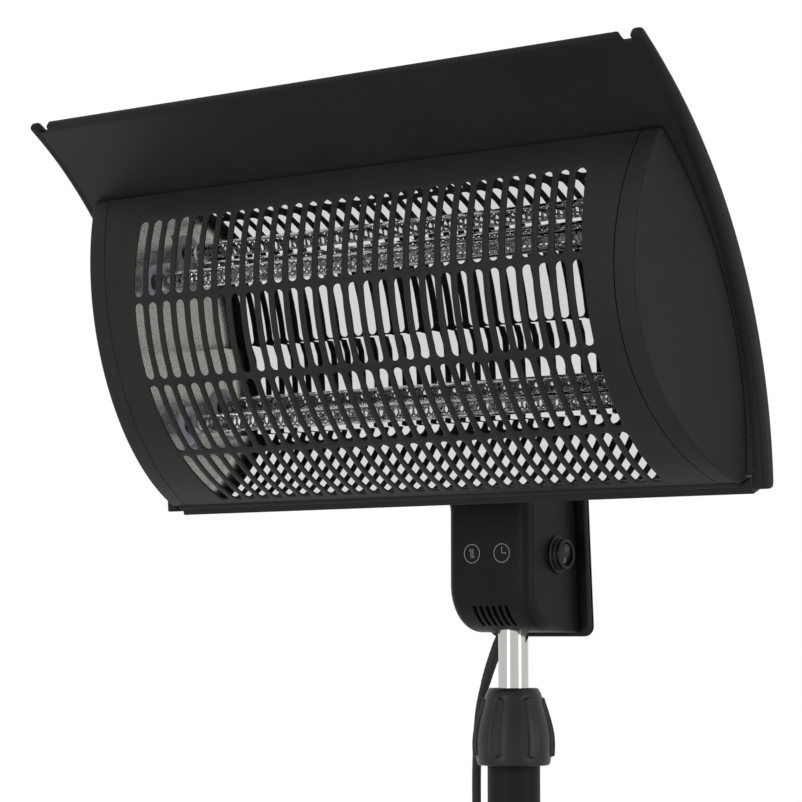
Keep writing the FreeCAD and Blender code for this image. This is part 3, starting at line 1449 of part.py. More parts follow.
def build_bushes():
    """Ceramic bushes in the end reflectors, their screws and the terminals behind them."""
    half = d.reflector_half_width
    wall = d.reflector_wall
    bore = d.quartz_diameter / 2 + d.seat_gap
    bushes = []
    screws = []
    terminals = []
    for up in (d.quartz_upper_rise, -d.quartz_lower_drop):
        ring = upright(d.bush_ring_radius, d.bush_ring_height, half - d.bush_ring_height, -d.quartz_forward,
                       up, Vector(1, 0, 0))
        body = upright(d.bush_body_radius, wall + d.bush_flange_height, half, -d.quartz_forward, up,
                       Vector(1, 0, 0))
        corner = Vector(float(half + wall), -float(d.quartz_forward + d.bush_flange_width / 2),
                        float(up) - float(d.bush_flange_length) / 2)
        flange = Part.makeBox(float(d.bush_flange_height), float(d.bush_flange_width),
                              float(d.bush_flange_length), corner)
        bush = ring.fuse([body, flange])
        hole = upright(bore, d.overrun * 4, half - d.overrun * 2, -d.quartz_forward, up, Vector(1, 0, 0))
        recess = upright(d.bush_hole_radius, d.bush_hole_depth + d.overrun,
                         half - d.bush_ring_height - d.overrun, -d.quartz_forward, up, Vector(1, 0, 0))
        drills = [hole, recess]
        for side in (-1, 1):
            place = float(up) + side * float(d.bush_screw_offset)
            drills.append(upright(d.bush_screw_radius + d.snug, d.overrun * 4, half - d.overrun,
                                  -d.quartz_forward, place, Vector(1, 0, 0)))
            shank = upright(d.bush_screw_radius, wall + d.bush_flange_height, half, -d.quartz_forward, place,
                            Vector(1, 0, 0))
            head = upright(d.bush_screw_head_radius, d.bush_screw_head_height, half - d.bush_screw_head_height,
                           -d.quartz_forward, place, Vector(1, 0, 0))
            screws.append(shank.fuse(head).removeSplitter())
        bushes.append(bush.cut(drills).removeSplitter())
        tip = d.quartz_half_length + d.snug
        cap = upright(d.terminal_radius, d.terminal_length, tip, -d.quartz_forward, up, Vector(1, 0, 0))
        tab_front = -float(d.quartz_forward + d.terminal_tab_width / 2)
        tab_corner = Vector(float(tip + d.terminal_length), tab_front, float(up) - float(wall) / 2)
        tab = Part.makeBox(float(d.terminal_tab_length), float(d.terminal_tab_width), float(wall), tab_corner)
        terminals.append(cap.fuse(tab).removeSplitter())
    feature("ceramic_bushes", Part.makeCompound(bushes + [mirrored(bush) for bush in bushes]), HEAD)
    feature("bush_screws", Part.makeCompound(screws + [mirrored(screw) for screw in screws]), HEAD)
    feature("tube_terminals", Part.makeCompound(terminals + [mirrored(cap) for cap in terminals]), HEAD)

    cutout = rod("cutout_can", d.cutout_radius, d.cutout_height, half + wall, -d.quartz_forward, 0, "X")
    node(group("cutouts", cutout), "thermal_cutout", HEAD)


def build_head_bracket():
    """The bracket on the canopy's back, its bolts, the terminal cover and the head's gland."""
    turn = Placement(Vector(0, 0, 0), about_x(-float(d.bracket_low_angle)))
    place = ARC.multiply(turn)
    seat = float(d.hood_inner_radius + d.hood_wall + d.seat_gap)
    thick = float(d.bracket_ear_thickness)
    half_width = float(d.bracket_plate_width) / 2
    half_height = float(d.bracket_plate_height) / 2
    plate = Part.makeBox(2 * half_width, thick, 2 * half_height, Vector(-half_width, seat, -half_height))
    pivot_world = Vector(0, -float(d.pivot_forward), float(d.pivot_height))
    pivot = place.inverse().multVec(pivot_world)
    round_size = float(d.neck_ear_round)
    corners = [(seat + thick / 2, half_height), (seat + thick / 2, -half_height),
               (pivot.y, pivot.z - round_size), (pivot.y, pivot.z + round_size)]
    ears = [side_plate(corners, x, thick, (pivot.y, pivot.z), round_size)
            for x in (-float(d.head_ear_offset) - thick, float(d.head_ear_offset))]
    bracket = plate.fuse(ears)
    tools = [upright(d.pivot_radius + d.snug, half_width * 2, -half_width, pivot.y, pivot.z, Vector(1, 0, 0))]
    bolts = []
    for x, z in bracket_places():
        depth = d.bracket_ear_thickness + d.overrun * 2
        tools.append(bracket_rod(d.bracket_bolt_radius + d.screw_clearance, depth, x,
                                 seat - float(d.overrun), z))
        length = d.hood_wall + thick
        shank = bracket_rod(d.bracket_bolt_radius, length, x, seat + thick - float(length), z)
        head = bracket_rod(d.bracket_bolt_head_radius, d.bracket_bolt_head_height, x, seat + thick, z)
        bolts.append(shank.fuse(head).removeSplitter())
    feature("head_bracket", bracket.cut(tools).removeSplitter(), place)
    feature("head_bracket_bolts", Part.makeCompound(bolts), place)

    lid_turn = Placement(Vector(0, 0, 0), about_x(float(d.cover_box_angle)))
    lid_place = ARC.multiply(lid_turn)
    back = float(d.hood_inner_radius + d.hood_wall)
    depth = float(d.cover_box_depth)
    width = float(d.cover_box_width)
    height = float(d.cover_box_height)
    wall = float(d.cover_box_wall)
    lead_in = float(d.overrun)
    form = Part.makeBox(width, depth + lead_in, height, Vector(-width / 2, back - lead_in, -height / 2))
    hollow = Part.makeBox(width - 2 * wall, depth + lead_in - wall, height - 2 * wall,
                          Vector(-width / 2 + wall, back - lead_in, -height / 2 + wall))
    panel = upright(back + float(d.seat_gap), width * 2, -width, 0, 0, Vector(1, 0, 0))
    feature("rear_terminal_cover", form.cut([hollow, panel]).removeSplitter(), lid_place)
    gland = rod("small_gland", d.head_gland_radius, d.head_gland_length, 0, back + depth / 2,
                -height / 2 - float(d.head_gland_length))
    node(group("small_glands", gland), "head_gland", lid_place)


# Mains lead

def cord_edges(points):
    """Straight runs joined by tangent arcs, each arc as large as its two runs allow."""
    edges = []
    radii = []
    cursor = points[0]
    for index in range(1, len(points) - 1):
        before = points[index] - points[index - 1]
        after = points[index + 1] - points[index]
        shorter = min(before.Length, after.Length)
        turn = before.getAngle(after)
        reach = ARC_REACH_SHARE * shorter
        radii.append(reach / math.tan(turn / 2))
        first = points[index] - before.normalize() * reach
        last = points[index] + after.normalize() * reach
        sagitta = (points[index] - (first + last) / 2).normalize()
        half = turn / 2
        apex = radii[-1] / math.cos(half) - radii[-1]
        middle = points[index] - sagitta * apex
        edges.append(Part.LineSegment(cursor, first).toShape())
        edges.append(Part.Arc(first, middle, last).toShape())
        cursor = last
    edges.append(Part.LineSegment(cursor, points[-1]).toShape())
    return edges, radii


def coil_places():
    """The coil's line as a function of its turns: it spirals in and out again, a layer for each way."""
    step = float(d.coil_loop_step)
    layer = float(d.coil_layer_step)
    inner = float(d.coil_inner_radius)
    centre = Vector(float(d.coil_centre_side), float(d.coil_centre_back), float(d.cord_diameter) / 2)
    start = math.radians(CORD_COIL_START_ANGLE)
    loops = CORD_LOOPS_PER_LAYER
    total = CORD_LAYERS * loops
    outer = inner + step * loops

    def place(turn):
        layer_index = min(int(turn / loops), CORD_LAYERS - 1)
        share = turn / loops - layer_index
        if layer_index % 2 == 0:
            radius = outer - (outer - inner) * share
        else:
            radius = inner + (outer - inner) * share
        rise = 0.0
        for climb in range(1, CORD_LAYERS):
            rise += layer * min(max((turn - climb * loops) / CLIMB_SHARE + 1 / 2, 0), 1)
        angle = start - 2 * math.pi * turn
        return centre + Vector(radius * math.cos(angle), radius * math.sin(angle), rise)

    return place, total


def coil_points():
    """Points and directions of the coil at every quarter turn."""
    place, total = coil_places()
    samples = []
    nearby = 1 / DENSE_STEPS ** 2
    for index in range(total * 4 + 1):
        turn = index / 4
        tangent = (place(min(turn + nearby, total)) - place(max(turn - nearby, 0))).normalize()
        samples.append((place(turn), tangent))
    dense = [place(step / DENSE_STEPS) for step in range(total * DENSE_STEPS)]
    gap = least_gap(dense, DENSE_STEPS // 2, d.cord_diameter)
    print("lead coil", total, "turns, least gap", round(gap, 2), "mm")
    return samples


def build_cord():
    """The free lead, its coil, and the plug with its pins."""
    radius = float(d.cord_diameter) / 2
    samples = coil_points()
    first_point, first_tangent = samples[0]
    straight = float(d.cord_diameter)
    entry = first_point - first_tangent * straight
    direction = exit_direction()
    start = gland_mouth() + direction * float(d.boot_length)
    route = [start] + [Vector(*point) for point in CORD_POINTS]
    route += [entry - first_tangent * float(d.coil_entry_run), entry]
    edges, radii = cord_edges(route)
    lead, length = swept_tube(edges, radius, direction)
    print("lead radii", [round(value) for value in radii])
    share = lead.Volume / (length * math.pi * radius ** 2)
    print("lead length", round(length), "mm, volume share", round(share, 4))
    feature("mains_lead", lead)

    last_point, last_tangent = samples[-1]
    edges = [Part.LineSegment(entry, first_point).toShape()]
    for (point, tangent), (next_point, next_tangent) in zip(samples, samples[1:]):
        edges += biarc(point, tangent, next_point, next_tangent)
    leave = last_point + last_tangent * float(d.coil_tail_run)
    edges.append(Part.LineSegment(last_point, leave).toShape())
    coil, length = swept_tube(edges, radius, first_tangent)
    share = coil.Volume / (length * math.pi * radius ** 2)
    print("coil length", round(length), "mm, volume share", round(share, 4))
    feature("mains_coil", coil)
    build_plug(leave, last_tangent)


def build_plug(start, direction):
    """The moulded plug at the lead's end, square to the lead, with two round pins."""
    flat = Vector(direction.x, direction.y, 0).normalize()
    angle = math.degrees(math.atan2(flat.y, flat.x))
    place = Placement(start, Rotation(Vector(0, 0, 1), angle))
    tip = float(d.cord_diameter) * PLUG_NOSE_SHARE
    shoulder = float(d.plug_height) * PLUG_SHOULDER_SHARE
    nose = Part.makeCone(tip, shoulder, float(d.plug_nose), Vector(0, 0, 0), Vector(1, 0, 0))
    body = Part.makeBox(float(d.plug_length), float(d.plug_width), float(d.plug_height),
                        Vector(float(d.plug_nose), -float(d.plug_width) / 2, -float(d.plug_height) / 2))
    edges = [edge for edge in body.Edges
             if abs(edge.Vertexes[0].X - edge.Vertexes[1].X) > float(d.plug_length) / 2]
    body = body.makeFillet(float(d.plug_height) * PLUG_ROUND_SHARE, edges)
    feature("plug_body", nose.fuse(body).removeSplitter(), place)
    reach = float(d.plug_nose + d.plug_length)
    pins = [upright(d.pin_diameter / 2, d.pin_length, reach, side * float(d.pin_spacing) / 2, 0,
                    Vector(1, 0, 0)) for side in (-1, 1)]
    feature("plug_pins", Part.makeCompound(pins), place)


def check_and_write():
    """Stop on any failed object or bad shape, then write each sub-part."""
    doc.recompute()
    for thing in doc.Objects:
        if "Invalid" in thing.State or "Error" in thing.State:
            raise RuntimeError(f"{thing.Name} failed: {thing.State}")
    os.makedirs("parts", exist_ok=True)
    for thing in nodes:
        shape = thing.Shape
        if shape.isNull() or not shape.isValid() or not shape.Solids:
            raise RuntimeError(f"{thing.Label} has no valid solid")
        shape.exportStep(f"parts/{thing.Label}.step")
    print(len(nodes), "sub-parts")


build_mast()
build_pole()
build_collar()
build_base()
build_case()
build_back_plate()
build_rocker()
build_gland()
build_neck()
build_hood()
build_caps()
build_grille()
build_rail()
build_reflector()
build_housing()
build_quartz()
build_bushes()
build_head_bracket()
build_cord()
check_and_write()
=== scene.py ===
# %% [markdown]
# Dressing an infrared patio heater
# The frame holds every sub-part of the heater as plain triangles, in metres, standing where it belongs.
# This lesson gives the parts that are seen finer surfaces and gives every part a finish. Nothing moves from
# the place that the frame gives it, so each new surface is worked out in the frame's own coordinates.

# %% Load the frame
import json
import math

import bmesh
import bpy
import numpy as np
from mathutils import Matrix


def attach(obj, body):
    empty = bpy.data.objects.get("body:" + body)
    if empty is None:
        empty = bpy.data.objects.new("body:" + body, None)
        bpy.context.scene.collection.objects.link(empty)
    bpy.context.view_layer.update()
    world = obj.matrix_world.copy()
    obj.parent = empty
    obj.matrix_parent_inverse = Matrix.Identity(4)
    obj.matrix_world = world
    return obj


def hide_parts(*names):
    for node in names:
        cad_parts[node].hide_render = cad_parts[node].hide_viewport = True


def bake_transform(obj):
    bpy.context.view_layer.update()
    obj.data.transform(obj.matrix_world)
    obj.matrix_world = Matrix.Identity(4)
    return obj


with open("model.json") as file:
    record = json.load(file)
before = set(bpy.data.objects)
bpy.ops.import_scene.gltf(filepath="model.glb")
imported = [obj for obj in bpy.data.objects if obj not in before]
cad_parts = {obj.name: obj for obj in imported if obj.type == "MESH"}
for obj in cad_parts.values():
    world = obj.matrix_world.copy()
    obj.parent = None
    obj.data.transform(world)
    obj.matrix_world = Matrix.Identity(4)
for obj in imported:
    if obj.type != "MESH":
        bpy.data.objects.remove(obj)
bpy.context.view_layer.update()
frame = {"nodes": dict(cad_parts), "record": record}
MILLIMETRE = 0.001

# %% [markdown]
# The camera
# The picture was taken with a long lens a little below the middle of the head, looking slightly up. A camera
# could be placed by eye, but then no edge would meet its place. Here the place and lens come from a fit of
# known edges, such as the slots' even pitch, to the picture.

# %% Camera
CAMERA_PLACE = (1.0849, -1.6548, 1.2604)
CAMERA_PITCH = 5.31
CAMERA_SIDE = 35.715
CAMERA_LENS = 116.57

camera_data = bpy.data.cameras.new("camera")
camera_data.lens = CAMERA_LENS
camera_data.sensor_width = 36
camera = bpy.data.objects.new("camera", camera_data)
camera.location = CAMERA_PLACE
camera.rotation_euler = (math.radians(90 + CAMERA_PITCH), 0, math.radians(CAMERA_SIDE))
bpy.context.scene.collection.objects.link(camera)
bpy.context.scene.camera = camera
bpy.context.scene.view_settings.view_transform = "Standard"

# %% [markdown]
# Node maths as plain sums
# A finish needs arithmetic between patterns. Adding Math nodes one by one hides the sum that is meant, so a
# small class wraps a node's output, and the sum is written with the usual signs. One more method adds any
# other kind of node: its settings first, because they decide which sockets it has, then its values or links.

# %% Wire and Graph
class Wire:
    """An output socket that takes part in sums, each of which adds a Math node."""

    def __init__(self, graph, socket):
        self.graph = graph
        self.socket = socket

    def maths(self, operation, first, second):
        return self.graph.node("ShaderNodeMath", {"operation": operation}, {0: first, 1: second})

    def __add__(self, other):
        return self.maths("ADD", self, other)

    def __radd__(self, other):
        return self.maths("ADD", other, self)

    def __sub__(self, other):
        return self.maths("SUBTRACT", self, other)

    def __rsub__(self, other):
        return self.maths("SUBTRACT", other, self)

    def __mul__(self, other):
        return self.maths("MULTIPLY", self, other)

    def __rmul__(self, other):
        return self.maths("MULTIPLY", other, self)


class Graph:
    """A node tree, with one method that adds any node."""

    def __init__(self, tree):
        self.tree = tree

    def node(self, kind, settings=None, inputs=None, output=0):
        made = self.tree.nodes.new(kind)
        for name, value in (settings or {}).items():
            setattr(made, name, value)
        for key, value in (inputs or {}).items():
            if isinstance(value, Wire):
                self.tree.links.new(value.socket, made.inputs[key])
            else:
                made.inputs[key].default_value = value
        return Wire(self, made.outputs[output])

    def mix(self, mask, first, second):
        """One colour turning into another as the mask goes from 0 to 1."""
        return self.node("ShaderNodeMix", {"data_type": "RGBA"}, {0: mask, 6: first, 7: second}, 2)

    def between(self, value, low, high):
        """How far a value has come from low to high, as 0 to 1, held at both ends."""
        return self.node("ShaderNodeMapRange", None, {"Value": value, "From Min": low, "From Max": high})


# %% [markdown]
# A finish
# Every material here is one Principled shader. What is the same all over a surface, such as its metal or its
# gloss level, is set straight on the shader's sockets. What varies is a pattern on Object coordinates, which
# are metres in the frame, so a grain keeps its real size on every piece that wears it.

# %% Finish
finishes = {}


class Finish(Graph):
    """A material around one Principled shader, kept among the finishes under its name."""

    def __init__(self, name, colour, roughness, **sockets):
        self.material = bpy.data.materials.new(name)
        finishes[name] = self.material
        self.material.use_nodes = True
        super().__init__(self.material.node_tree)
        self.shader = self.tree.nodes["Principled BSDF"]
        self.set("Base Color", (*colour, 1))
        self.set("Roughness", roughness)
        for key, value in sockets.items():
            self.set(key.replace("_", " "), value)
        self.place = self.node("ShaderNodeTexCoord", output=3)

    def set(self, socket, value):
        if isinstance(value, Wire):
            self.tree.links.new(value.socket, self.shader.inputs[socket])
        else:
            self.shader.inputs[socket].default_value = value

    def grain(self, scale, stretch=(1, 1, 1), detail=2.0):
        """Noise with about scale cells in a metre, stretched along the axes."""
        size = tuple(scale * share for share in stretch)
        moved = self.node("ShaderNodeMapping", None, {"Vector": self.place, "Scale": size})
        return self.node("ShaderNodeTexNoise", None, {"Vector": moved, "Scale": 1.0, "Detail": detail})

    def bump(self, height, depth, strength):
        """Small relief: depth is in metres."""
        inputs = {"Height": height, "Distance": depth, "Strength": strength}
        self.set("Normal", self.node("ShaderNodeBump", None, inputs))


# %% [markdown]
# Black coats and plastics
# The canopy is steel with a matt powder coat, whose film dries with a fine orange-peel texture. The case and
# the collar are moulded plastic with a spark-eroded grain. Both could be flat black, but then no light would
# show their form. A broad, faint change of tone and gloss, with the fine grain as relief, keeps them alive.
# The canopy, case and pole wear darker copies of the black coat and plastic, which are painted shade, and
# the collar a lighter, bluish copy, which is a painted sheen.

# %% Black finishes
COAT_DRIFT = 0.25
COAT_DUST = (0.06, 0.06, 0.058, 1)


def black(name, tone, roughness, level, grain_scale, grain_depth):
    """A dark coat: tone and gloss drift over centimetres, and a fine grain stands out."""
    finish = Finish(name, tone, roughness, Specular_IOR_Level=level)
    cloud = finish.between(finish.grain(14, detail=3), 0.3, 0.7)
    darker = tuple(channel * (1 - COAT_DRIFT) for channel in tone)
    lighter = tuple(channel * (1 + COAT_DRIFT) for channel in tone)
    speck = finish.grain(grain_scale, detail=1)
    shade = finish.mix(cloud, (*darker, 1), (*lighter, 1))
    dust = finish.between(finish.grain(grain_scale / 3, detail=1), 0.62, 0.75)
    finish.set("Base Color", finish.mix(dust * 0.10, shade, COAT_DUST))
    finish.set("Roughness", roughness - 0.04 + cloud * 0.05 + speck * 0.04)
    finish.bump(speck, grain_depth, 0.5)


# Each has its tone, roughness, specular level, grain cells in a metre and grain depth in metres.
black("black_metal", (0.0092, 0.0088, 0.0084), 0.52, 0.17, 1500, 0.00006)
# Painted shade: a darker, warmer copy of black_metal, worn by the canopy.
black("canopy_coat_painted_shade", (0.0080, 0.0074, 0.0069), 0.52, 0.13, 1500, 0.00006)
black("black_plastic", (0.0062, 0.0060, 0.0060), 0.42, 0.17, 2200, 0.00004)
# Painted shade: a darker, less glossy copy of black_plastic, worn by the case.
black("case_plastic_painted_shade", (0.0054, 0.0052, 0.0052), 0.42, 0.10, 2200, 0.00004)
# Painted shade: a darker, less glossy copy of black_metal, worn by both pole tubes.
black("pole_coat_painted_shade", (0.0078, 0.0076, 0.0074), 0.50, 0.085, 1500, 0.00005)
# Painted sheen: a lighter, bluish, glossier copy of black_plastic, worn by the collar.
black("collar_plastic_painted_sheen", (0.0082, 0.0083, 0.0095), 0.38, 0.24, 1800, 0.00005)
black("switch_plastic", (0.0055, 0.0055, 0.0055), 0.30, 0.13, 2600, 0.00002)
black("rubber", (0.020, 0.020, 0.021), 0.75, 0.3, 900, 0.00008)
black("nylon", (0.030, 0.030, 0.031), 0.5, 0.4, 1200, 0.00003)

# %% [markdown]
# Metals
# The mast is polished stainless steel, drawn lengthways, so its finest scratches run along it. The reflector
# is anodised aluminium sheet, rolled along the head. Fasteners are zinc plated. Each is a metal whose gloss
# changes along fine streaks; the streaks are one noise stretched far along one axis.

# %% Metal finishes
ALONG_MAST = (1, 1, 0.004)
ALONG_HEAD = (0.006, 1, 1)
BRUSHED = (0.02, 1, 1)
EVEN = (1, 1, 1)


def metal(name, tone, roughness, streak, scale, spread, tint, relief=0.0):
    """A metal whose gloss and tone vary along streaks."""
    finish = Finish(name, tone, roughness, Metallic=1.0)
    line = finish.grain(scale, streak, 2)
    cloud = finish.grain(9, detail=3)
    finish.set("Roughness", roughness - spread / 2 + line * spread + (cloud - 0.5) * spread * 0.4)
    dark = tuple(channel * (1 - tint) for channel in tone)
    bright = tuple(min(channel * (1 + tint), 1) for channel in tone)
    finish.set("Base Color", finish.mix(line, (*dark, 1), (*bright, 1)))
    if relief:
        finish.bump(line, relief, 0.4)


# Each has its tone, roughness, streaks, their scale, and how far gloss and tone vary along them.
metal("polished_steel", (0.50, 0.485, 0.465), 0.13, ALONG_MAST, 900, 0.08, 0.06)
metal("reflector_aluminium", (0.67, 0.665, 0.655), 0.02, ALONG_HEAD, 500, 0.015, 0.03)
metal("brushed_aluminium", (0.68, 0.66, 0.63), 0.28, BRUSHED, 900, 0.12, 0.22)
metal("zinc_steel", (0.42, 0.43, 0.46), 0.34, EVEN, 500, 0.16, 0.12)
metal("resistance_wire", (0.20, 0.19, 0.18), 0.22, EVEN, 800, 0.12, 0.20)
metal("brass", (0.78, 0.58, 0.30), 0.28, EVEN, 600, 0.12, 0.10)
metal("cast_iron", (0.09, 0.09, 0.095), 0.62, EVEN, 350, 0.20, 0.25, 0.0002)

# %% [markdown]
# Quartz, ceramic and the small electrical parts
# The heating tubes are clear quartz. A plain white transmission with quartz's refraction shows their bright
# edges. Ceramic is a fired, slightly blue white with dark specks. The circuit board carries its copper
# pattern as a faint grid under green lacquer, and components are plain dark resin.

# %% Quartz, ceramic and board finishes
Finish("quartz", (0.97, 0.98, 1.0), 0.02, Transmission_Weight=1.0, IOR=1.46)


def make_ceramic():
    finish = Finish("ceramic", (0.55, 0.59, 0.66), 0.45, Specular_IOR_Level=0.5)
    speck = finish.between(finish.grain(1400, detail=1), 0.66, 0.74)
    cloud = finish.grain(60, detail=2)
    body = finish.mix(cloud, (0.50, 0.54, 0.62, 1), (0.62, 0.66, 0.72, 1))
    finish.set("Base Color", finish.mix(speck * 0.5, body, (0.20, 0.21, 0.24, 1)))
    finish.set("Roughness", 0.38 + cloud * 0.15)
    finish.bump(finish.grain(900), 0.00004, 0.4)


def make_board():
    finish = Finish("circuit_board", (0.03, 0.16, 0.07), 0.35, Specular_IOR_Level=0.5)
    bricks = {"Vector": finish.place, "Scale": 120.0, "Mortar Size": 0.02}
    tracks = finish.node("ShaderNodeRGBToBW", None, {0: finish.node("ShaderNodeTexBrick", None, bricks)})
    green = finish.mix(finish.grain(40), (0.02, 0.12, 0.05, 1), (0.04, 0.19, 0.08, 1))
    finish.set("Base Color", finish.mix(tracks * 0.3, green, (0.30, 0.26, 0.10, 1)))
    finish.set("Roughness", 0.28 + finish.grain(300) * 0.15)


make_ceramic()
make_board()
black("component_plastic", (0.035, 0.035, 0.04), 0.4, 0.45, 1000, 0.00003)


def make_print():
    finish = Finish("icon_print", (0.16, 0.16, 0.17), 0.5, Specular_IOR_Level=0.3)
    worn = finish.grain(900, detail=2)
    finish.set("Base Color", finish.mix(worn, (0.17, 0.17, 0.175, 1), (0.27, 0.27, 0.28, 1)))


make_print()
print(len(finishes), "finishes")

# %% [markdown]
# Every sub-part gets its finish
# The record gives each sub-part a material slot, and a finish has its slot's name, so one loop dresses the
# whole frame. Only the end reflectors differ: they are brushed. Parts that get a finer surface later hide
# their plain one, and the rest, mostly inside, keep it with this finish.

# %% Dress the frame
for part in frame["record"]["subparts"]:
    mesh = frame["nodes"][part["node"]].data
    mesh.materials.clear()
    brushed = part["node"].startswith("end_reflector")
    mesh.materials.append(finishes["brushed_aluminium" if brushed else part["material_slot"]])
print(len(frame["nodes"]), "sub-parts dressed")

# %% [markdown]
# Surfaces as arrays
# A sheet of metal is a surface with two directions. It could be modelled by hand from a box, but a formula
# keeps each edge at its measured place and its rounding even. Form collects patches, which are grids of
# points in millimetres with quads between neighbours, and makes them one closed mesh.

# %% Form
def full_turn(steps):
    """Evenly spaced angles once round, where the last step leads back to the first angle."""
    return np.linspace(0, 2 * math.pi, steps, endpoint=False)


class Form:
    """Patches of points, in millimetres, that become one mesh."""

    def __init__(self):
        self.points = []
        self.faces = []
        self.total = 0

    def patch(self, grid, round_rows=False, round_columns=False):
        """Quads over a grid; a round direction joins its last line to its first. Returns point numbers."""
        grid = np.asarray(grid, float)
        rows, columns = grid.shape[:2]
        numbers = self.total + np.arange(rows * columns).reshape(rows, columns)
        self.points.append(grid.reshape(-1, 3))
        self.total += rows * columns
        around = np.vstack([numbers, numbers[:1]]) if round_rows else numbers
        around = np.hstack([around, around[:, :1]]) if round_columns else around
        quads = np.stack([around[:-1, :-1], around[:-1, 1:], around[1:, 1:], around[1:, :-1]], axis=-1)
        self.faces += quads.reshape(-1, 4).tolist()
        return numbers

    def lid(self, numbers):
        """One flat face over a ring of point numbers."""
        self.faces.append([int(number) for number in numbers])

    def loft(self, rings):
        """A closed shell through closed rings of points, with a lid on its first and last ring."""
        numbers = self.patch(rings, round_columns=True)
        self.lid(numbers[0, ::-1])
        self.lid(numbers[-1])

    def turn(self, profile, origin, axis, steps):
        """A closed profile of radius and height turned about an axis: (r cos t, r sin t, h)."""
        profile = np.asarray(profile, float)
        angle = full_turn(steps)
        first = profile[:, :1] * np.cos(angle)
        second = profile[:, :1] * np.sin(angle)
        height = np.broadcast_to(profile[:, 1:], first.shape)
        order = {"Z": (first, second, height), "X": (height, first, second)}[axis]
        self.patch(np.stack(order, axis=-1) + np.asarray(origin, float), round_rows=True, round_columns=True)


SAME_PLACE = 2e-6


def piece(name, form, finish, body, replaces=(), slot=None, sharp=35):
    """The form as one outward-facing mesh that rides on a body and stands for its sub-parts.

    A finish has its slot's name, or else the slot is told, but the slot is not used. Edges sharper than so
    many degrees stay sharp.
    """
    mesh = bpy.data.meshes.new(name)
    points = np.concatenate(form.points) * MILLIMETRE
    mesh.from_pydata(points.tolist(), [], form.faces)
    work = bmesh.new()
    work.from_mesh(mesh)
    bmesh.ops.remove_doubles(work, verts=work.verts, dist=SAME_PLACE)
    bmesh.ops.recalc_face_normals(work, faces=work.faces)
    work.to_mesh(mesh)
    work.free()
    mesh.polygons.foreach_set("use_smooth", np.ones(len(mesh.polygons), bool))
    mesh.set_sharp_from_angle(angle=math.radians(sharp))
    mesh.materials.append(finishes[finish])
    made = bpy.data.objects.new(name, mesh)
    bpy.context.scene.collection.objects.link(made)
    if body:
        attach(made, body)
    slot = slot or finish
    if replaces:
        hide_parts(*replaces)
    print(name, len(mesh.polygons), "faces")
    return made


# %% [markdown]
# Rounded outlines
# Pressed and moulded edges are never sharp, and the thin light along them shows the shape. A Bevel modifier
# could round them afterwards, but an outline whose corners are arcs gives each corner its own radius.

# %% Outlines
LEAST_STEP = 1e-5


def unit(vectors):
    return vectors / np.linalg.norm(vectors, axis=-1, keepdims=True)


def rounded(corners, radii, steps):
    """A closed outline with an arc at each corner.

    The arc's centre lies on the bisector at radius / sin(half the opening), and its points turn from the end
    of one side to the start of the next: (a sin((1 - s) w) + b sin(s w)) / sin w, with w the arc's angle.
    """
    corners = np.asarray(corners, float)
    radii = np.broadcast_to(np.asarray(radii, float), len(corners))
    back = unit(np.roll(corners, 1, axis=0) - corners)
    ahead = unit(np.roll(corners, -1, axis=0) - corners)
    opening = np.arccos(np.clip((back * ahead).sum(1), -1, 1))
    reach = radii / np.tan(opening / 2)
    first = corners + back * reach[:, None]
    last = corners + ahead * reach[:, None]
    centre = corners + unit(back + ahead) * (radii / np.sin(opening / 2))[:, None]
    sweep = (math.pi - opening)[:, None]
    share = np.linspace(0, 1, steps + 1)[None, :]
    start = np.sin((1 - share) * sweep) / np.sin(sweep)
    end = np.sin(share * sweep) / np.sin(sweep)
    arcs = centre[:, None] + (first - centre)[:, None] * start[..., None]
    arcs = arcs + (last - centre)[:, None] * end[..., None]
    points = arcs.reshape(-1, 2)
    apart = np.linalg.norm(points - np.roll(points, 1, axis=0), axis=1)
    return points[apart > LEAST_STEP]


def divided(outline, spacing):
    """The same closed outline with its long sides cut into equal steps no longer than the spacing."""
    ahead = np.roll(outline, -1, axis=0)
    counts = np.maximum(np.ceil(np.linalg.norm(ahead - outline, axis=1) / spacing).astype(int), 1)
    start = np.repeat(outline, counts, axis=0)
    along = np.repeat(ahead - outline, counts, axis=0)
    step = np.arange(counts.sum()) - np.repeat(np.cumsum(counts) - counts, counts)
    share = step / np.repeat(counts, counts)
    return start + along * share[:, None]


def inward(outline):
    """Unit normals of a closed outline, towards its inside."""
    along = unit(np.roll(outline, -1, axis=0) - np.roll(outline, 1, axis=0))
    normal = np.stack([-along[:, 1], along[:, 0]], axis=1)
    ahead = np.roll(outline, -1, axis=0)
    area = (outline[:, 0] * ahead[:, 1] - ahead[:, 0] * outline[:, 1]).sum()
    return normal if area > 0 else -normal


def quarter(radius, steps=5):
    """Distances in and along a rounded edge: (r (1 - sin a), r (1 - cos a)) for a from 90 degrees to 0."""
    angle = np.linspace(0, math.pi / 2, steps + 1)
    return radius * (1 - np.sin(angle)), radius * (1 - np.cos(angle))


# %% [markdown]
# The head's own axes
# The head leans forward, so its shapes are easiest to write along its own axes: forward through the grille,
# up along it and across. One function turns them by the head's lean and moves them to the head's place.
# The canopy is rolled about a line in front of the head, so it gets radius and angle about that line.

# %% Head axes
HEAD_LEAN = math.radians(21.1)
HEAD_FORWARD = 47.1
HEAD_HEIGHT = 1525.0
CANOPY_CENTRE = (438.7, -20.9)
LIP_CENTRE = (404.5, -23.6)


def head(forward, up, across):
    """Frame coordinates: y = -47.1 - forward cos - up sin, z = 1525 - forward sin + up cos."""
    forward, up, across = np.broadcast_arrays(forward, up, across)
    y = -HEAD_FORWARD - forward * math.cos(HEAD_LEAN) - up * math.sin(HEAD_LEAN)
    z = HEAD_HEIGHT - forward * math.sin(HEAD_LEAN) + up * math.cos(HEAD_LEAN)
    return np.stack([across, y, z], axis=-1)


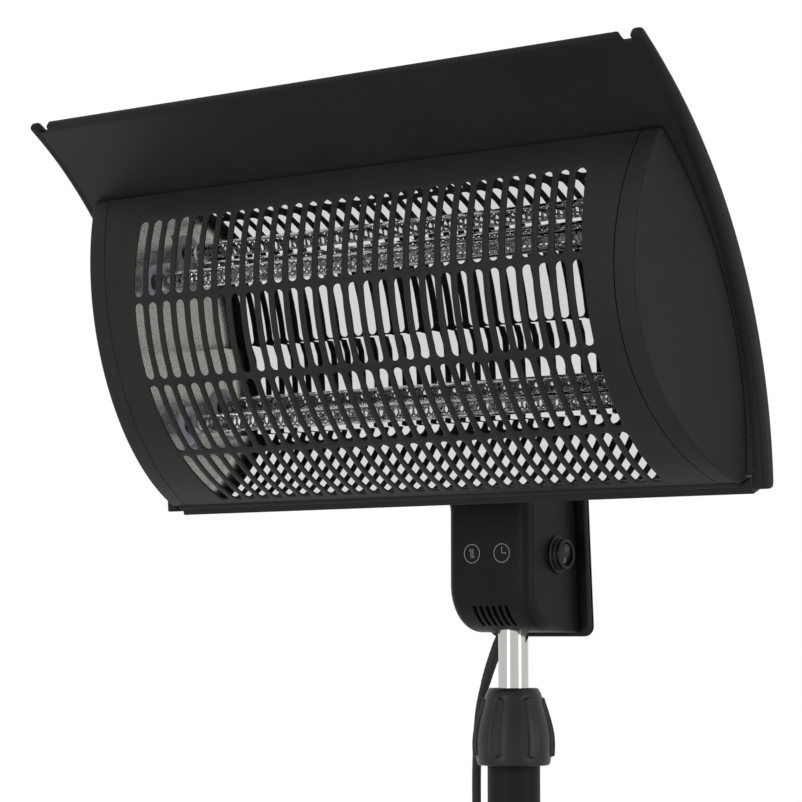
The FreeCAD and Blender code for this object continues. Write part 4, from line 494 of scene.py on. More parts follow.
def canopy(radius, angle, across):
    """Frame coordinates of a place at a radius and an angle in degrees about the canopy's line."""
    turn = np.radians(angle)
    return head(CANOPY_CENTRE[0] - radius * np.cos(turn), CANOPY_CENTRE[1] + radius * np.sin(turn), across)


# %% [markdown]
# The canopy
# It is one curved steel sheet with a thick rounded lip along each end and a hem at its front edge. The sheet
# is a closed strip of radius and place across, carried along the arc. Near its front edge the strip gets
# narrower, which leaves a small notch beside each lip. A lip lies between two arcs with different centres,
# so it gets thinner and narrower towards the tip and ends there in a rounded nose.

# %% Canopy
CANOPY_INNER = 353.9
CANOPY_SHEET = 3.0
CANOPY_HEM = 4.8
CANOPY_LOW = -17.1
CANOPY_HIGH = 36.02
CANOPY_HALF = 266.0
LIP_OUTER = 335.2
LIP_FOOT = -18.55
LIP_WIDTH = (11.0, 9.2)
LIP_CORNERS = (1.5, 8.0, 4.5, 3.0)
LIP_CORNER_SHARE = (0.47, 0.46)
LIP_ENDS = (0, 0.1, 0.3, 0.6, 1.0, 1.5, 2.2, 3.0, 4.0, 5.0)
LIP_PLAIN = 8.0
FOOT_ROUND = 5.0
FOOT_SIDE_ROUND = 1.5
NOSE_LENGTH = 3.4
NOSE_CUT = 0.05
SHEET_TUCK = 1.5
SHEET_START = 0.5
SHEET_STEPS = 72
HEM_STEPS = 4
HEM_SQUEEZE = (0.2, 0.75)
NOTCH_SIDE = 248.5
# Pairs of a distance before the front edge and how far further out than the notch's side the sheet is there.
NOTCH_CURVE = [(6.5, 1.5), (4.5, 0.5), (3.0, 0.0), (1.8, -0.4), (0.9, -1.1), (0.3, -2.0), (0.0, -3.2)]
# Millimetres along the sheet's inner side for each degree of the arc.
CANOPY_DEGREE = math.pi / 180 * CANOPY_INNER


def lip_outside(angle):
    """Radius of the lips' outer arc about the canopy's line: d.e + sqrt(R R - (d x e) (d x e))."""
    turn = np.radians(angle)
    shift = np.array(LIP_CENTRE) - np.array(CANOPY_CENTRE)
    along = -shift[0] * np.cos(turn) + shift[1] * np.sin(turn)
    aside = shift[0] * np.sin(turn) + shift[1] * np.cos(turn)
    return along + np.sqrt(LIP_OUTER ** 2 - aside ** 2)


def arc_end(distance, radius):
    """What a rounded end takes away at a distance from it: r - sqrt(r r - (r - t) (r - t)) for t under r."""
    left = np.clip(radius - distance, 0, radius)
    return radius - np.sqrt(radius ** 2 - left ** 2)


def add_sheet(form):
    """The strip at each place along the arc: its thickness times 0 to 1, its width times -1 to 1."""
    reach = CANOPY_HALF - LIP_WIDTH[1] + SHEET_TUCK
    strip = rounded([(-reach, 0), (reach, 0), (reach, 1), (-reach, 1)], 0.3, 4)
    length = (CANOPY_HIGH - CANOPY_LOW) * CANOPY_DEGREE
    front, side = np.array(NOTCH_CURVE).T
    plain = np.linspace(SHEET_START, length - front[0], SHEET_STEPS)
    along = np.concatenate([plain, length - front])
    wide = np.concatenate([np.full(SHEET_STEPS, reach), NOTCH_SIDE + side])
    hem = np.full(len(front), CANOPY_HEM)
    hem[:HEM_STEPS] = np.linspace(CANOPY_SHEET, CANOPY_HEM, HEM_STEPS)
    thick = np.concatenate([np.full(SHEET_STEPS, CANOPY_SHEET), hem])
    squeeze = np.zeros(len(along))
    squeeze[-len(HEM_SQUEEZE):] = HEM_SQUEEZE
    height = 0.5 + (strip[:, 1] - 0.5) * (1 - squeeze[:, None])
    radius = CANOPY_INNER + height * thick[:, None]
    angle = CANOPY_LOW + along[:, None] / CANOPY_DEGREE
    form.loft(canopy(radius, angle, strip[:, 0] * wide[:, None] / reach))


def lip_sections(along, length):
    """The lip's rounded rectangle, as place across and height over the inner arc, at each place along it."""
    depth = lip_outside(LIP_FOOT + along / CANOPY_DEGREE) - CANOPY_INNER
    width = LIP_WIDTH[0] + (LIP_WIDTH[1] - LIP_WIDTH[0]) * (along / length)
    nose = np.sqrt(1 - np.clip(1 - (length - along + NOSE_CUT) / NOSE_LENGTH, 0, 1) ** 2)
    lower = arc_end(along, FOOT_ROUND)
    narrow = arc_end(along, FOOT_SIDE_ROUND)
    sections = []
    for tall, wide, small, low, slim in zip(depth, width, nose, lower, narrow):
        tall -= low
        across = CANOPY_HALF - wide + slim
        corners = [(across, 0), (CANOPY_HALF - slim, 0), (CANOPY_HALF - slim, tall), (across, tall)]
        largest = min(tall * LIP_CORNER_SHARE[0], wide * LIP_CORNER_SHARE[1])
        section = rounded(corners, np.minimum(LIP_CORNERS, largest), 7)
        centre = np.array([CANOPY_HALF - wide / 2, tall / 2])
        sections.append(centre + (section - centre) * small)
    return np.array(sections)


def build_canopy():
    form = Form()
    add_sheet(form)
    length = (CANOPY_HIGH - LIP_FOOT) * CANOPY_DEGREE
    fine = np.array(LIP_ENDS)
    along = np.concatenate([fine, np.linspace(LIP_PLAIN, length - LIP_PLAIN, 66), length - fine[::-1]])
    sections = lip_sections(along, length)
    angles = LIP_FOOT + along / CANOPY_DEGREE
    for side in (-1, 1):
        form.loft(canopy(CANOPY_INNER + sections[..., 1], angles[:, None], side * sections[..., 0]))
    # The canopy wears a darker copy of black_metal, which is painted shade.
    piece("canopy", form, "canopy_coat_painted_shade", "head", ["hood_shell"], slot="black_metal")


build_canopy()

# %% [markdown]
# The grille
# A bowed sheet is punched with thirty columns and four rows of pill-shaped slots. Cutting 120 holes with a
# Boolean is slow and leaves long thin faces. Instead one cell is a set of rings, from the cell's edge to the
# slot's rim, over its rounded edge and back on the inner side, and the same rings are used for every cell.

# %% Grille
GRILLE_RADIUS = 167.3
GRILLE_SHEET = 1.2
GRILLE_TOP = 45.8
GRILLE_BOTTOM = -49.6
SLOT_COLUMNS = 30
SLOT_PITCH = 13.2
SLOT_HALF_WIDTH = 3.875
SLOT_HALF_LENGTH = 29.05
ROW_ANGLES = (28.0, 6.4, -15.2, -36.8)
ROW_STEP = 21.6
CAP_HALF = 247.0
CAP_HALF_LEFT = 250.2
CAP_SLANT = 0.2857
CAP_RIM = 15.5
CAP_GAP = 0.35
GRILLE_INSET = CAP_RIM + CAP_GAP
# Pairs of a distance outside the slot's outline and a depth under the grille's face.
SLOT_RIM = [(0.45, 0.0), (0.1, 0.3), (0.0, 0.7), (0.25, GRILLE_SHEET)]


def end_plane(forward, inboard, side):
    """Where the slanted end face lies across, at a place forward, or a plane so far inboard of it."""
    half = CAP_HALF if side > 0 else CAP_HALF_LEFT
    return half - CAP_SLANT * (forward - GRILLE_RADIUS * math.sqrt(0.5)) - inboard


def bowed(arc, across, radius):
    """The grille's surface: arc is a length along it at its outer radius."""
    angle = arc / GRILLE_RADIUS
    return head(radius * np.cos(angle), radius * np.sin(angle), across)


def build_grille():
    form = Form()
    half_cell = math.radians(ROW_STEP) * GRILLE_RADIUS / 2
    half_pitch = SLOT_PITCH / 2
    run = SLOT_HALF_LENGTH - SLOT_HALF_WIDTH
    steps = np.radians([22.5, 45, 67.5])
    quarter_x = np.concatenate([[1, 1, 1], np.cos(steps)])
    quarter_y = np.concatenate([[0, run / 2, run], run + SLOT_HALF_WIDTH * np.sin(steps)])
    edge_x = np.array([1, 1, 1, 1, 1, 0.5]) * half_pitch
    edge_y = np.array([0, run / 2, run, (run + half_cell) / 2, half_cell, half_cell])

    def ring(x, y, top):
        x = np.concatenate([x, [0], -x[:0:-1], -x, [0], x[:0:-1]])
        y = np.concatenate([y, [top], y[:0:-1], -y, [-top], -y[:0:-1]])
        return np.stack([x, y], axis=1)

    def slot(margin):
        x = quarter_x * (SLOT_HALF_WIDTH + margin)
        y = quarter_y + margin * np.concatenate([[0, 0, 0], np.sin(steps)])
        return ring(x, y, SLOT_HALF_LENGTH + margin)

    edge = ring(edge_x, edge_y, half_cell)
    outer = GRILLE_RADIUS
    inner = GRILLE_RADIUS - GRILLE_SHEET
    rings = np.stack([edge, *(slot(margin) for margin, deep in SLOT_RIM), edge])
    depth = np.array([outer, *(outer - deep for margin, deep in SLOT_RIM), inner])[:, None]
    columns = (np.arange(SLOT_COLUMNS) - (SLOT_COLUMNS - 1) / 2) * SLOT_PITCH
    for row_angle in ROW_ANGLES:
        middle = math.radians(row_angle) * GRILLE_RADIUS
        for column in columns:
            form.patch(bowed(rings[..., 1] + middle, rings[..., 0] + column, depth), round_columns=True)

    field = half_pitch * SLOT_COLUMNS
    rows = np.radians(ROW_ANGLES)[::-1, None] * GRILLE_RADIUS
    marks = np.concatenate([-edge_y[:5][::-1], edge_y[1:5]])
    arcs = (rows + marks).reshape(-1)
    low = np.radians(GRILLE_BOTTOM) * GRILLE_RADIUS
    high = np.radians(GRILLE_TOP) * GRILLE_RADIUS
    blank_low = np.linspace(low, arcs[0], 3)
    blank_high = np.linspace(arcs[-1], high, 4)
    side_arcs = np.concatenate([blank_low[:-1], arcs, blank_high[1:]])
    across = (columns[:, None] + np.array([-half_pitch, -half_pitch / 2, 0, half_pitch / 2])).reshape(-1)
    across = np.append(across, field)
    share = np.linspace(0, 1, 4)
    for radius in (outer, inner):
        for strip in (blank_low, blank_high):
            form.patch(bowed(strip[:, None], across, radius))
        for side in (-1, 1):
            end = end_plane(radius * np.cos(side_arcs / GRILLE_RADIUS), GRILLE_INSET, side)
            places = side * (field + (end[:, None] - field) * share)
            form.patch(bowed(side_arcs[:, None], places, radius))
    thickness = np.array([outer, inner])[:, None]
    for arc in (low, high):
        forward = outer * math.cos(arc / GRILLE_RADIUS)
        ends = [end_plane(forward, GRILLE_INSET, side) for side in (-1, 1)]
        left, right = [field + (end - field) * share[1:] for end in ends]
        form.patch(bowed(arc, np.concatenate([-left[::-1], across, right]), thickness))
    for side in (-1, 1):
        rim = side * end_plane(thickness * np.cos(side_arcs / GRILLE_RADIUS), GRILLE_INSET, side)
        form.patch(bowed(side_arcs, rim, thickness))
    piece("grille", form, "black_metal", "head", ["front_grille"], sharp=50)


build_grille()

# %% [markdown]
# The end caps
# Each end is closed by a D-shaped pressing: the grille's bow in front, the canopy's curve behind, flat at the
# bottom and nearly pointed at the top. The outline is worked out once, and rings at growing distances inside
# it give the rounded rim and the flat slanted face. The fine dark line beside the grille needs no ring of its
# own, because it is the narrow gap that the grille leaves there.

# %% End caps
CAP_TOP_RISE = 120.00
CAP_LOW = -127.4
CAP_WALL = 2.5
CAP_NEAR = 0.6
CAP_TIP_ROUND = 0.8
CAP_HEEL_ROUND = 2.5
CAP_MIDDLE = (128.0, -20.0)
CAP_MIDDLE_REACH = 90
CAP_FACE_ROUND = 2.0
# The rings' distances inside the outline and inboard of the face, on the hidden inner side and on the rim.
CAP_INSIDE = [(CAP_WALL + 1.4, CAP_WALL), (CAP_WALL + 1.4, CAP_RIM), (0.5, CAP_RIM), (0.0, CAP_RIM - 0.6)]
CAP_FACE_INSETS = (5.0, 12.0, 30.0)


def end_outline():
    """The D as forward and up: two arcs, and a flat bottom with rounded corners."""
    back_radius = CANOPY_INNER - 0.1
    front = np.linspace(math.asin(CAP_TOP_RISE / GRILLE_RADIUS), math.asin(CAP_LOW / GRILLE_RADIUS), 72)
    front = np.stack([GRILLE_RADIUS * np.cos(front), GRILLE_RADIUS * np.sin(front)], axis=1)
    low = math.asin((CAP_LOW - CANOPY_CENTRE[1]) / back_radius)
    high = math.asin((CAP_TOP_RISE - CANOPY_CENTRE[1]) / back_radius)
    back = np.linspace(low, high, 60)
    back = np.stack([CANOPY_CENTRE[0] - back_radius * np.cos(back),
                     CANOPY_CENTRE[1] + back_radius * np.sin(back)], axis=1)
    corners = np.concatenate([front, back])
    radii = np.zeros(len(corners))
    radii[[0, len(corners) - 1]] = CAP_TIP_ROUND
    radii[[len(front) - 1, len(front)]] = CAP_HEEL_ROUND
    return divided(rounded(corners, radii, 5), 5.0)


def build_end_caps():
    """A ring is the outline, a little in along its normals and then in towards the middle."""
    outline = end_outline()
    inside_insets, inside_depths = np.array(CAP_INSIDE).T
    into, along = quarter(CAP_FACE_ROUND)
    insets = np.concatenate([inside_insets, along, CAP_FACE_INSETS])
    depths = np.concatenate([inside_depths, into, np.zeros(len(CAP_FACE_INSETS))])
    near = np.minimum(insets, CAP_NEAR)[:, None, None]
    far = np.maximum(insets - CAP_NEAR, 0)[:, None, None] / CAP_MIDDLE_REACH
    place = outline + inward(outline) * near + (np.array(CAP_MIDDLE) - outline) * far
    for side, name in ((1, "right"), (-1, "left")):
        form = Form()
        across = side * end_plane(place[..., 0], depths[:, None], side)
        form.loft(head(place[..., 0], place[..., 1], across))
        piece(f"cap_{name}", form, "black_metal", "head", [f"end_cap_{name}"])


build_end_caps()

# %% [markdown]
# The rail and the reflectors
# Below the grille runs a stepped rail. Behind the tubes the back reflector is one folded sheet, whose bends
# throw the light forward. Both are outlines carried straight across the head. The fold lines have a small
# radius, because a bent sheet shows a soft line there and not a knife edge, and one bend is wide and slack.

# %% Rail and back reflector
RAIL_SHELF = [(90, -127.5), (90, -130.6), (108, -130.6), (108, -127.5)]
RAIL_SHELF_HALF = 247.0
RAIL_BAR = [(84, -127.7), (84, -139.5), (95.5, -139.5), (95.5, -127.7)]
RAIL_BAR_RIGHT = 251.2
RAIL_BAR_LEFT = 254.4
REFLECTOR_LINE = [(113.4, 111.5), (99.5, 64.0), (104.6, -5.8), (100.0, -27.0), (98.4, -76.0), (110.5, -121.0)]
REFLECTOR_ROUNDS = [0, 2, 6, 120, 5, 0]
REFLECTOR_SHEET = 0.8
REFLECTOR_HALF = 206.0


def across_head(form, outline, right, left=None):
    """An outline of forward and up carried across the head, as far to the left as right if not told."""
    places = np.array([[-(left or right)], [right]])
    form.loft(head(outline[:, 0], outline[:, 1], places))


def build_rail():
    form = Form()
    across_head(form, rounded(RAIL_SHELF, 0.8, 3), RAIL_SHELF_HALF)
    across_head(form, rounded(RAIL_BAR, 1.0, 4), RAIL_BAR_RIGHT, RAIL_BAR_LEFT)
    piece("rail", form, "black_metal", "head", ["bottom_rail"])


def build_back_reflector():
    """The folded line, and the same line a sheet's thickness behind it, on the way back."""
    form = Form()
    line = np.array(REFLECTOR_LINE)
    before = np.vstack([line[:1], line[:-1]])
    after = np.vstack([line[1:], line[-1:]])
    along = unit(after - before)
    back = line + np.stack([along[:, 1], -along[:, 0]], axis=1) * REFLECTOR_SHEET
    corners = np.vstack([line, back[::-1]])
    across_head(form, rounded(corners, REFLECTOR_ROUNDS + REFLECTOR_ROUNDS[::-1], 6), REFLECTOR_HALF)
    piece("reflector", form, "reflector_aluminium", "head", ["back_reflector"])


build_rail()
build_back_reflector()

# %% [markdown]
# Quartz tubes and their coils
# A heating tube is a clear pipe with a tightly wound wire inside. The wire is a helix, and its own round
# section is carried along the helix in one formula: the centre line, plus the section's two axes, one out
# from the helix's axis and one across the wire.

# %% Tubes and coils
TUBE_FORWARD = 119.8
TUBE_RISES = {"upper": 53.4, "lower": -59.5}
TUBE_RADIUS = 7.0
TUBE_BORE = 5.8
TUBE_HALF = 214.0
COIL_RADIUS = 4.7
COIL_WIRE = 0.75
COIL_PITCH = 4.4
COIL_HALF = 196.0
COIL_STEPS = 14
WIRE_SIDES = 5


def build_tube(name, rise):
    form = Form()
    wall = [(TUBE_BORE, -TUBE_HALF), (TUBE_RADIUS, -TUBE_HALF),
            (TUBE_RADIUS, TUBE_HALF), (TUBE_BORE, TUBE_HALF)]
    form.turn(rounded(wall, 0.4, 3), head(TUBE_FORWARD, rise, 0.0), "X", 40)
    piece(f"tube_{name}", form, "quartz", "head", [f"quartz_tube_{name}"])


def build_coil(name, rise):
    """x = p t / 2 pi, y = R cos t, z = R sin t, with the wire's ring round it."""
    centre = head(TUBE_FORWARD, rise, 0.0)
    turns = 2 * COIL_HALF / COIL_PITCH
    angle = np.linspace(0, 2 * math.pi * turns, int(turns * COIL_STEPS) + 1)[:, None]
    around = full_turn(WIRE_SIDES)[None, :]
    radius = COIL_RADIUS + COIL_WIRE * np.cos(around)
    x = COIL_PITCH * angle / (2 * math.pi) - COIL_HALF + COIL_WIRE * np.sin(around)
    form = Form()
    form.loft(np.stack([x, radius * np.cos(angle), radius * np.sin(angle)], axis=-1) + centre)
    piece(f"coil_{name}", form, "resistance_wire", "head", [f"heating_coil_{name}"])


for name, rise in TUBE_RISES.items():
    build_tube(name, rise)
    build_coil(name, rise)

# %% [markdown]
# Bushes and their screws
# Four ceramic bushes hold the tubes in the end reflectors. Each is a ring with a recessed mouth, turned about
# the tube's line. Its flange lies flat behind the reflector, and two small domed screws hold it there.

# %% Bushes
BUSH_FACE = REFLECTOR_HALF
# Pairs of a radius and a depth behind the reflector's face, where what stands out in front is below zero.
BUSH_PROFILE = [(7.1, 4.0), (7.1, -1.4), (8.8, -1.4), (8.8, -2.6),
                (14.2, -2.6), (14.2, 0), (10.5, 0), (10.5, 4.0)]
BUSH_ROUNDS = [0, 0, 0.2, 0.5, 1.0, 0.2, 0, 0]
SCREW_PROFILE = [(0, -1.8), (1.4, -1.65), (2.4, -1.1), (2.9, -0.3), (2.9, 0), (1.5, 0), (1.5, 4.0), (0, 4.0)]
SCREW_OFFSET = 18.0
FLANGE_CORNERS = [(-12, -23), (12, -23), (12, 23), (-12, 23)]
FLANGE_HOLE = 10.4
FLANGE_DEPTHS = (0.85, 3.95)


def behind_face(profile, side):
    """A profile of radius and depth, as radius and place across at one of the two end reflectors."""
    radius, depth = np.array(profile).T
    return np.stack([radius, side * (BUSH_FACE + depth)], axis=1)


def build_bushes():
    form = Form()
    screws = Form()
    flange = rounded(FLANGE_CORNERS, 5, 5)
    hole = unit(flange) * FLANGE_HOLE
    for rise in TUBE_RISES.values():
        for side in (-1, 1):
            ring = rounded(behind_face(BUSH_PROFILE, side), BUSH_ROUNDS, 4)
            form.turn(ring, head(TUBE_FORWARD, rise, 0.0), "X", 48)
            places = side * (BUSH_FACE + np.array(FLANGE_DEPTHS)[:, None])
            outer = head(TUBE_FORWARD + flange[:, 0], rise + flange[:, 1], places)
            inner = head(TUBE_FORWARD + hole[:, 0], rise + hole[:, 1], places)
            form.patch(np.concatenate([outer, inner[::-1]]), round_rows=True, round_columns=True)
            for offset in (-SCREW_OFFSET, SCREW_OFFSET):
                screws.turn(behind_face(SCREW_PROFILE, side), head(TUBE_FORWARD, rise + offset, 0.0), "X", 24)
    piece("bushes", form, "ceramic", "head", ["ceramic_bushes"])
    piece("bush_screw_heads", screws, "zinc_steel", "head", ["bush_screws"])


build_bushes()

# %% [markdown]
# The control box
# The case is one moulding with a straight front, a large round chin and soft upright corners that follow it.
# It could be a box with bevels, but the corner radius fades out towards the back, where the case meets its
# plate. So its side outline is carried across, and near each side every point moves in by its own radius.
# The vents are strips of faces that are taken out again, and each gets a slot with a closed bottom.

# %% Control box
BOX_HALF = 37.0
BOX_FRONT = -35.8
BOX_LOW = 1268.0
BOX_HIGH = 1375.0
BOX_BACK_LOW = 36.05
BOX_BACK_HIGH = 28.95
BOX_ROUNDS = [1.5, 36.0, 1.0, 1.0]
BOX_CORNER = 9.0
BOX_CORNER_BACK = 1.2
BOX_FADE_BACK = 25.0
BOX_FADE_TOP = 14.0
BOX_FADE_POWER = 0.7
VENT_COUNT = 6
VENT_PITCH = 5.7
VENT_WIDTH = 3.0
VENT_TOP = 1288.0
VENT_BACK = -17.5
VENT_DEPTH = 6.0


def box_grid(outline, normals):
    """The side outline at each place across: x = h - c (1 - sin a), moved in by c (1 - cos a) near a side."""
    y, z = outline[:, 0], outline[:, 1]
    from_back = np.clip((BOX_FADE_BACK - y) / BOX_FADE_BACK, 0, 1)
    from_top = np.clip((BOX_HIGH - 1 - z) / BOX_FADE_TOP, 0, 1)
    fade = np.minimum(from_back, from_top) ** BOX_FADE_POWER
    corner = BOX_CORNER_BACK + (BOX_CORNER - BOX_CORNER_BACK) * fade
    angle = np.linspace(0, math.pi / 2, 9)[:, None]
    right_across = BOX_HALF - corner * (1 - np.sin(angle))
    right_inset = corner * (1 - np.cos(angle))
    edges = VENT_PITCH * (np.arange(VENT_COUNT) - (VENT_COUNT - 1) / 2)
    edges = np.sort(np.concatenate([edges - VENT_WIDTH / 2, edges + VENT_WIDTH / 2]))
    flat = np.broadcast_to(edges[:, None], (len(edges), len(outline)))
    across = np.vstack([-right_across[::-1], flat, right_across])
    inset = np.vstack([right_inset[::-1], np.zeros(flat.shape), right_inset])
    place = outline[None] + normals[None] * inset[..., None]
    return np.stack([across, place[..., 0], place[..., 1]], axis=-1), len(right_across)


def build_box():
    corners = [(BOX_FRONT, BOX_HIGH), (BOX_FRONT, BOX_LOW),
               (BOX_BACK_LOW, BOX_LOW), (BOX_BACK_HIGH, BOX_HIGH)]
    outline = divided(rounded(corners, BOX_ROUNDS, 30), 3.0)
    normals = inward(outline)
    grid, first_row = box_grid(outline, normals)
    form = Form()
    numbers = form.patch(grid, round_columns=True)
    form.lid(numbers[0, ::-1])
    form.lid(numbers[-1])
    in_vent = (outline[:, 0] < VENT_BACK) & (outline[:, 1] < VENT_TOP)
    columns = np.flatnonzero(in_vent & np.roll(in_vent, -1))
    rows = first_row + 2 * np.arange(VENT_COUNT)
    opened = {(numbers[row, column], numbers[row + 1, column]) for row in rows for column in columns}
    keep = [face for face in form.faces if len(face) != 4 or (face[0], face[3]) not in opened]
    print(len(form.faces) - len(keep), "faces opened for the vents")
    form.faces = keep
    vent_line = np.append(columns, columns[-1] + 1)
    pull = np.pad(normals[vent_line], ((0, 0), (1, 0))) * VENT_DEPTH
    for row in rows:
        near, far = grid[row, vent_line], grid[row + 1, vent_line]
        lip = np.concatenate([near, far[::-1]])
        bottom = np.concatenate([near + pull, (far + pull)[::-1]])
        form.patch(np.stack([lip, bottom]), round_columns=True)
        form.patch(np.stack([near + pull, far + pull]))
    # The case wears a darker copy of black_plastic, which is painted shade.
    piece("case", form, "case_plastic_painted_shade", "mast", ["control_box"], slot="black_plastic", sharp=40)


build_box()

# %% [markdown]
# The back plate
# A flat rounded plate, a little wider than the case, closes it behind and leans with it. Its edge is rounded,
# with a narrow step where the case stands in it.

# %% Back plate
PLATE_LEAN = math.radians(3.8)
PLATE_BACK = 32.6
PLATE_HEIGHT = 1320.0
PLATE_CORNERS = [(-46.8, -55.5), (46.8, -55.5), (46.8, 56.5), (-46.8, 56.5)]
PLATE_FRONT_FACE = 0.1
PLATE_BACK_FACE = 6.5
# Pairs of a distance inside the outline and a depth, for the step in which the case stands.
PLATE_STEP = [(6.4, 1.4), (5.9, 0.1), (2.4, 0.1)]


def leaning(across, back, up):
    """The plate's own place turned about X by its lean: (x, y cos - z sin, y sin + z cos)."""
    across, back, up = np.broadcast_arrays(across, back, up)
    y = PLATE_BACK + back * math.cos(PLATE_LEAN) - up * math.sin(PLATE_LEAN)
    z = PLATE_HEIGHT + back * math.sin(PLATE_LEAN) + up * math.cos(PLATE_LEAN)
    return np.stack([across, y, z], axis=-1)


def build_plate():
    outline = rounded(PLATE_CORNERS, 8.0, 8)
    into, along = quarter(2.4)
    step_insets, step_depths = np.array(PLATE_STEP).T
    insets = np.concatenate([step_insets, into[::-1], into])
    depths = np.concatenate([step_depths, PLATE_FRONT_FACE + along[::-1], PLATE_BACK_FACE - along])
    place = outline + inward(outline) * insets[:, None, None]
    form = Form()
    form.loft(leaning(place[..., 0], depths[:, None], place[..., 1]))
    piece("rear_plate", form, "black_plastic", "mast", ["back_plate"])


build_plate()

# %% [markdown]
# Touch icons
# Two round icons are printed on the front: an arrow pair and a clock face. A texture would need a picture, so
# they are thin raised prints, drawn as rings and flat strokes a few hundredths of a millimetre proud.

# %% Touch icons
ICON_HEIGHT = 1326.8
ICON_SIDE = 13.4
ICON_FACE = BOX_FRONT - 0.06
ICON_ROOT = BOX_FRONT + 0.2
ICON_OUTER = 7.2
ICON_INNER = 6.65
STROKE_WIDTH = 0.6
CLOCK_STROKES = [((0.0, 4.9), (0.0, -0.3)), ((-0.3, 0.0), (3.9, 0.0))]
ARROW_OFFSET = 0.85
ARROW_STROKES = [((0.0, -3.4), (0.0, 3.6)), ((0.2, 3.6), (-1.5, 1.9))]


def stroke(form, start, end):
    """A thin straight bar between two places across and up on the front."""
    along = (end - start) / np.linalg.norm(end - start)
    side = np.array([-along[1], along[0]]) * STROKE_WIDTH / 2
    flat = np.array([start - side, end - side, end + side, start + side])
    rings = [np.insert(flat, 1, face, axis=1) for face in (ICON_ROOT, ICON_FACE)]
    form.loft(np.stack(rings))


def build_icons():
    form = Form()
    angle = full_turn(64)
    radius = np.array([ICON_OUTER, ICON_OUTER, ICON_INNER, ICON_INNER])[:, None]
    face = np.array([ICON_ROOT, ICON_FACE, ICON_FACE, ICON_ROOT])[:, None]
    face = np.broadcast_to(face, (4, len(angle)))
    for side in (-ICON_SIDE, ICON_SIDE):
        ring = np.stack([side + radius * np.cos(angle), face, ICON_HEIGHT + radius * np.sin(angle)], axis=-1)
        form.patch(ring, round_rows=True, round_columns=True)
    clock = np.array([ICON_SIDE, ICON_HEIGHT])
    for start, end in np.array(CLOCK_STROKES):
        stroke(form, clock + start, clock + end)
    for way in (1, -1):
        arrow = np.array([-ICON_SIDE - ARROW_OFFSET * way, ICON_HEIGHT])
        for start, end in np.array(ARROW_STROKES) * way:
            stroke(form, arrow + start, arrow + end)
    piece("touch_icons", form, "icon_print", "mast", slot="black_plastic")


build_icons()

# %% [markdown]
# The rocker switch
# A round switch sits in the right wall: a wide flange, a stepped barrel, and a cup behind them that carries
# the button. A disc and rings could be stacked, but the bezel is one moulding, so it is one turned outline
# with a small radius on each step.

# %% Rocker switch
SWITCH_PLACE = (37.0, 5.3, 1326.4)
SWITCH_TILT = math.radians(8.0)
# Pairs of a radius about the switch's line and a distance out of the wall.
BEZEL_PROFILE = [(9.65, 0), (14.75, 0), (14.75, 1.7), (13.6, 2.4), (12.4, 2.4), (12.4, 4.1), (11.5, 4.6),
                 (11.5, 8.0), (9.65, 8.0)]
BEZEL_ROUNDS = [0, 0.3, 0.5, 0.5, 0.3, 0.4, 0.3, 0.9, 0.3]
CUP_PROFILE = [(0, -17.0), (9.6, -17.0), (9.6, 7.9), (8.9, 7.9), (8.9, -4.0), (0, -4.0)]
CUP_ROUNDS = [0, 0.6, 0.2, 0.2, 0.3, 0]


def build_switch_body():
    form = Form()
    form.turn(rounded(BEZEL_PROFILE, BEZEL_ROUNDS, 4), SWITCH_PLACE, "X", 72)
    piece("switch_bezel", form, "switch_plastic", "mast", ["rocker_boot"])
    cup = Form()
    cup.turn(rounded(CUP_PROFILE, CUP_ROUNDS, 3), SWITCH_PLACE, "X", 56)
    piece("switch_cup", cup, "switch_plastic", "mast", ["rocker_body"])


build_switch_body()

# %% [markdown]
# The switch's button
# The button is a disc that leans about a pivot inside the bezel, with a hollow across its face for the
# finger. A disc could be turned and sculpted, but the hollow is one more term in the same formula. The line
# and the circle are thin raised prints that lean with it.

# %% Button and its signs
BUTTON_PIVOT = 4.4
BUTTON_RADIUS = 8.4
BUTTON_HALF = 2.3
BUTTON_ROUNDS = [0, 0.5, 0.9, 0]
BUTTON_HOLLOW = 0.7
HOLLOW_SHARE = 0.6
SIGN_ROOT = 1.9
CIRCLE_FACE = 2.34
CIRCLE_OUTER = 1.75
CIRCLE_INNER = 1.2
CIRCLE_SQUEEZE = 0.75
CIRCLE_RISE = -4.4
BAR_FACE = 2.36
BAR_CORNERS = [(-0.3, 2.6), (0.3, 2.6), (0.3, 5.8), (-0.3, 5.8)]


def tilt_button(local):
    """The button's own out, side and up, turned by the switch's tilt about Y and moved to its pivot."""
    out, side, up = local[..., 0], local[..., 1], local[..., 2]
    x = SWITCH_PLACE[0] + BUTTON_PIVOT + out * math.cos(SWITCH_TILT) + up * math.sin(SWITCH_TILT)
    z = SWITCH_PLACE[2] + up * math.cos(SWITCH_TILT) - out * math.sin(SWITCH_TILT)
    return np.stack([x, SWITCH_PLACE[1] + side, z], axis=-1)


def build_button():
    """A turned disc whose front sinks in by a share of its hollow times (1 - (up / r) (up / r))."""
    form = Form()
    corners = [(0, -BUTTON_HALF), (BUTTON_RADIUS, -BUTTON_HALF),
               (BUTTON_RADIUS, BUTTON_HALF), (0, BUTTON_HALF)]
    radius, out = rounded(corners, BUTTON_ROUNDS, 4).T[..., None]
    up = radius * np.cos(full_turn(56))
    side = radius * np.sin(full_turn(56))
    hollow = BUTTON_HOLLOW * np.clip(1 - (up / BUTTON_RADIUS) ** 2, 0, 1) * (out > 0)
    local = np.stack([out - hollow * HOLLOW_SHARE, side, up], axis=-1)
    form.patch(tilt_button(local), round_rows=True, round_columns=True)
    piece("switch_button", form, "switch_plastic", "switch_lever", ["rocker"])


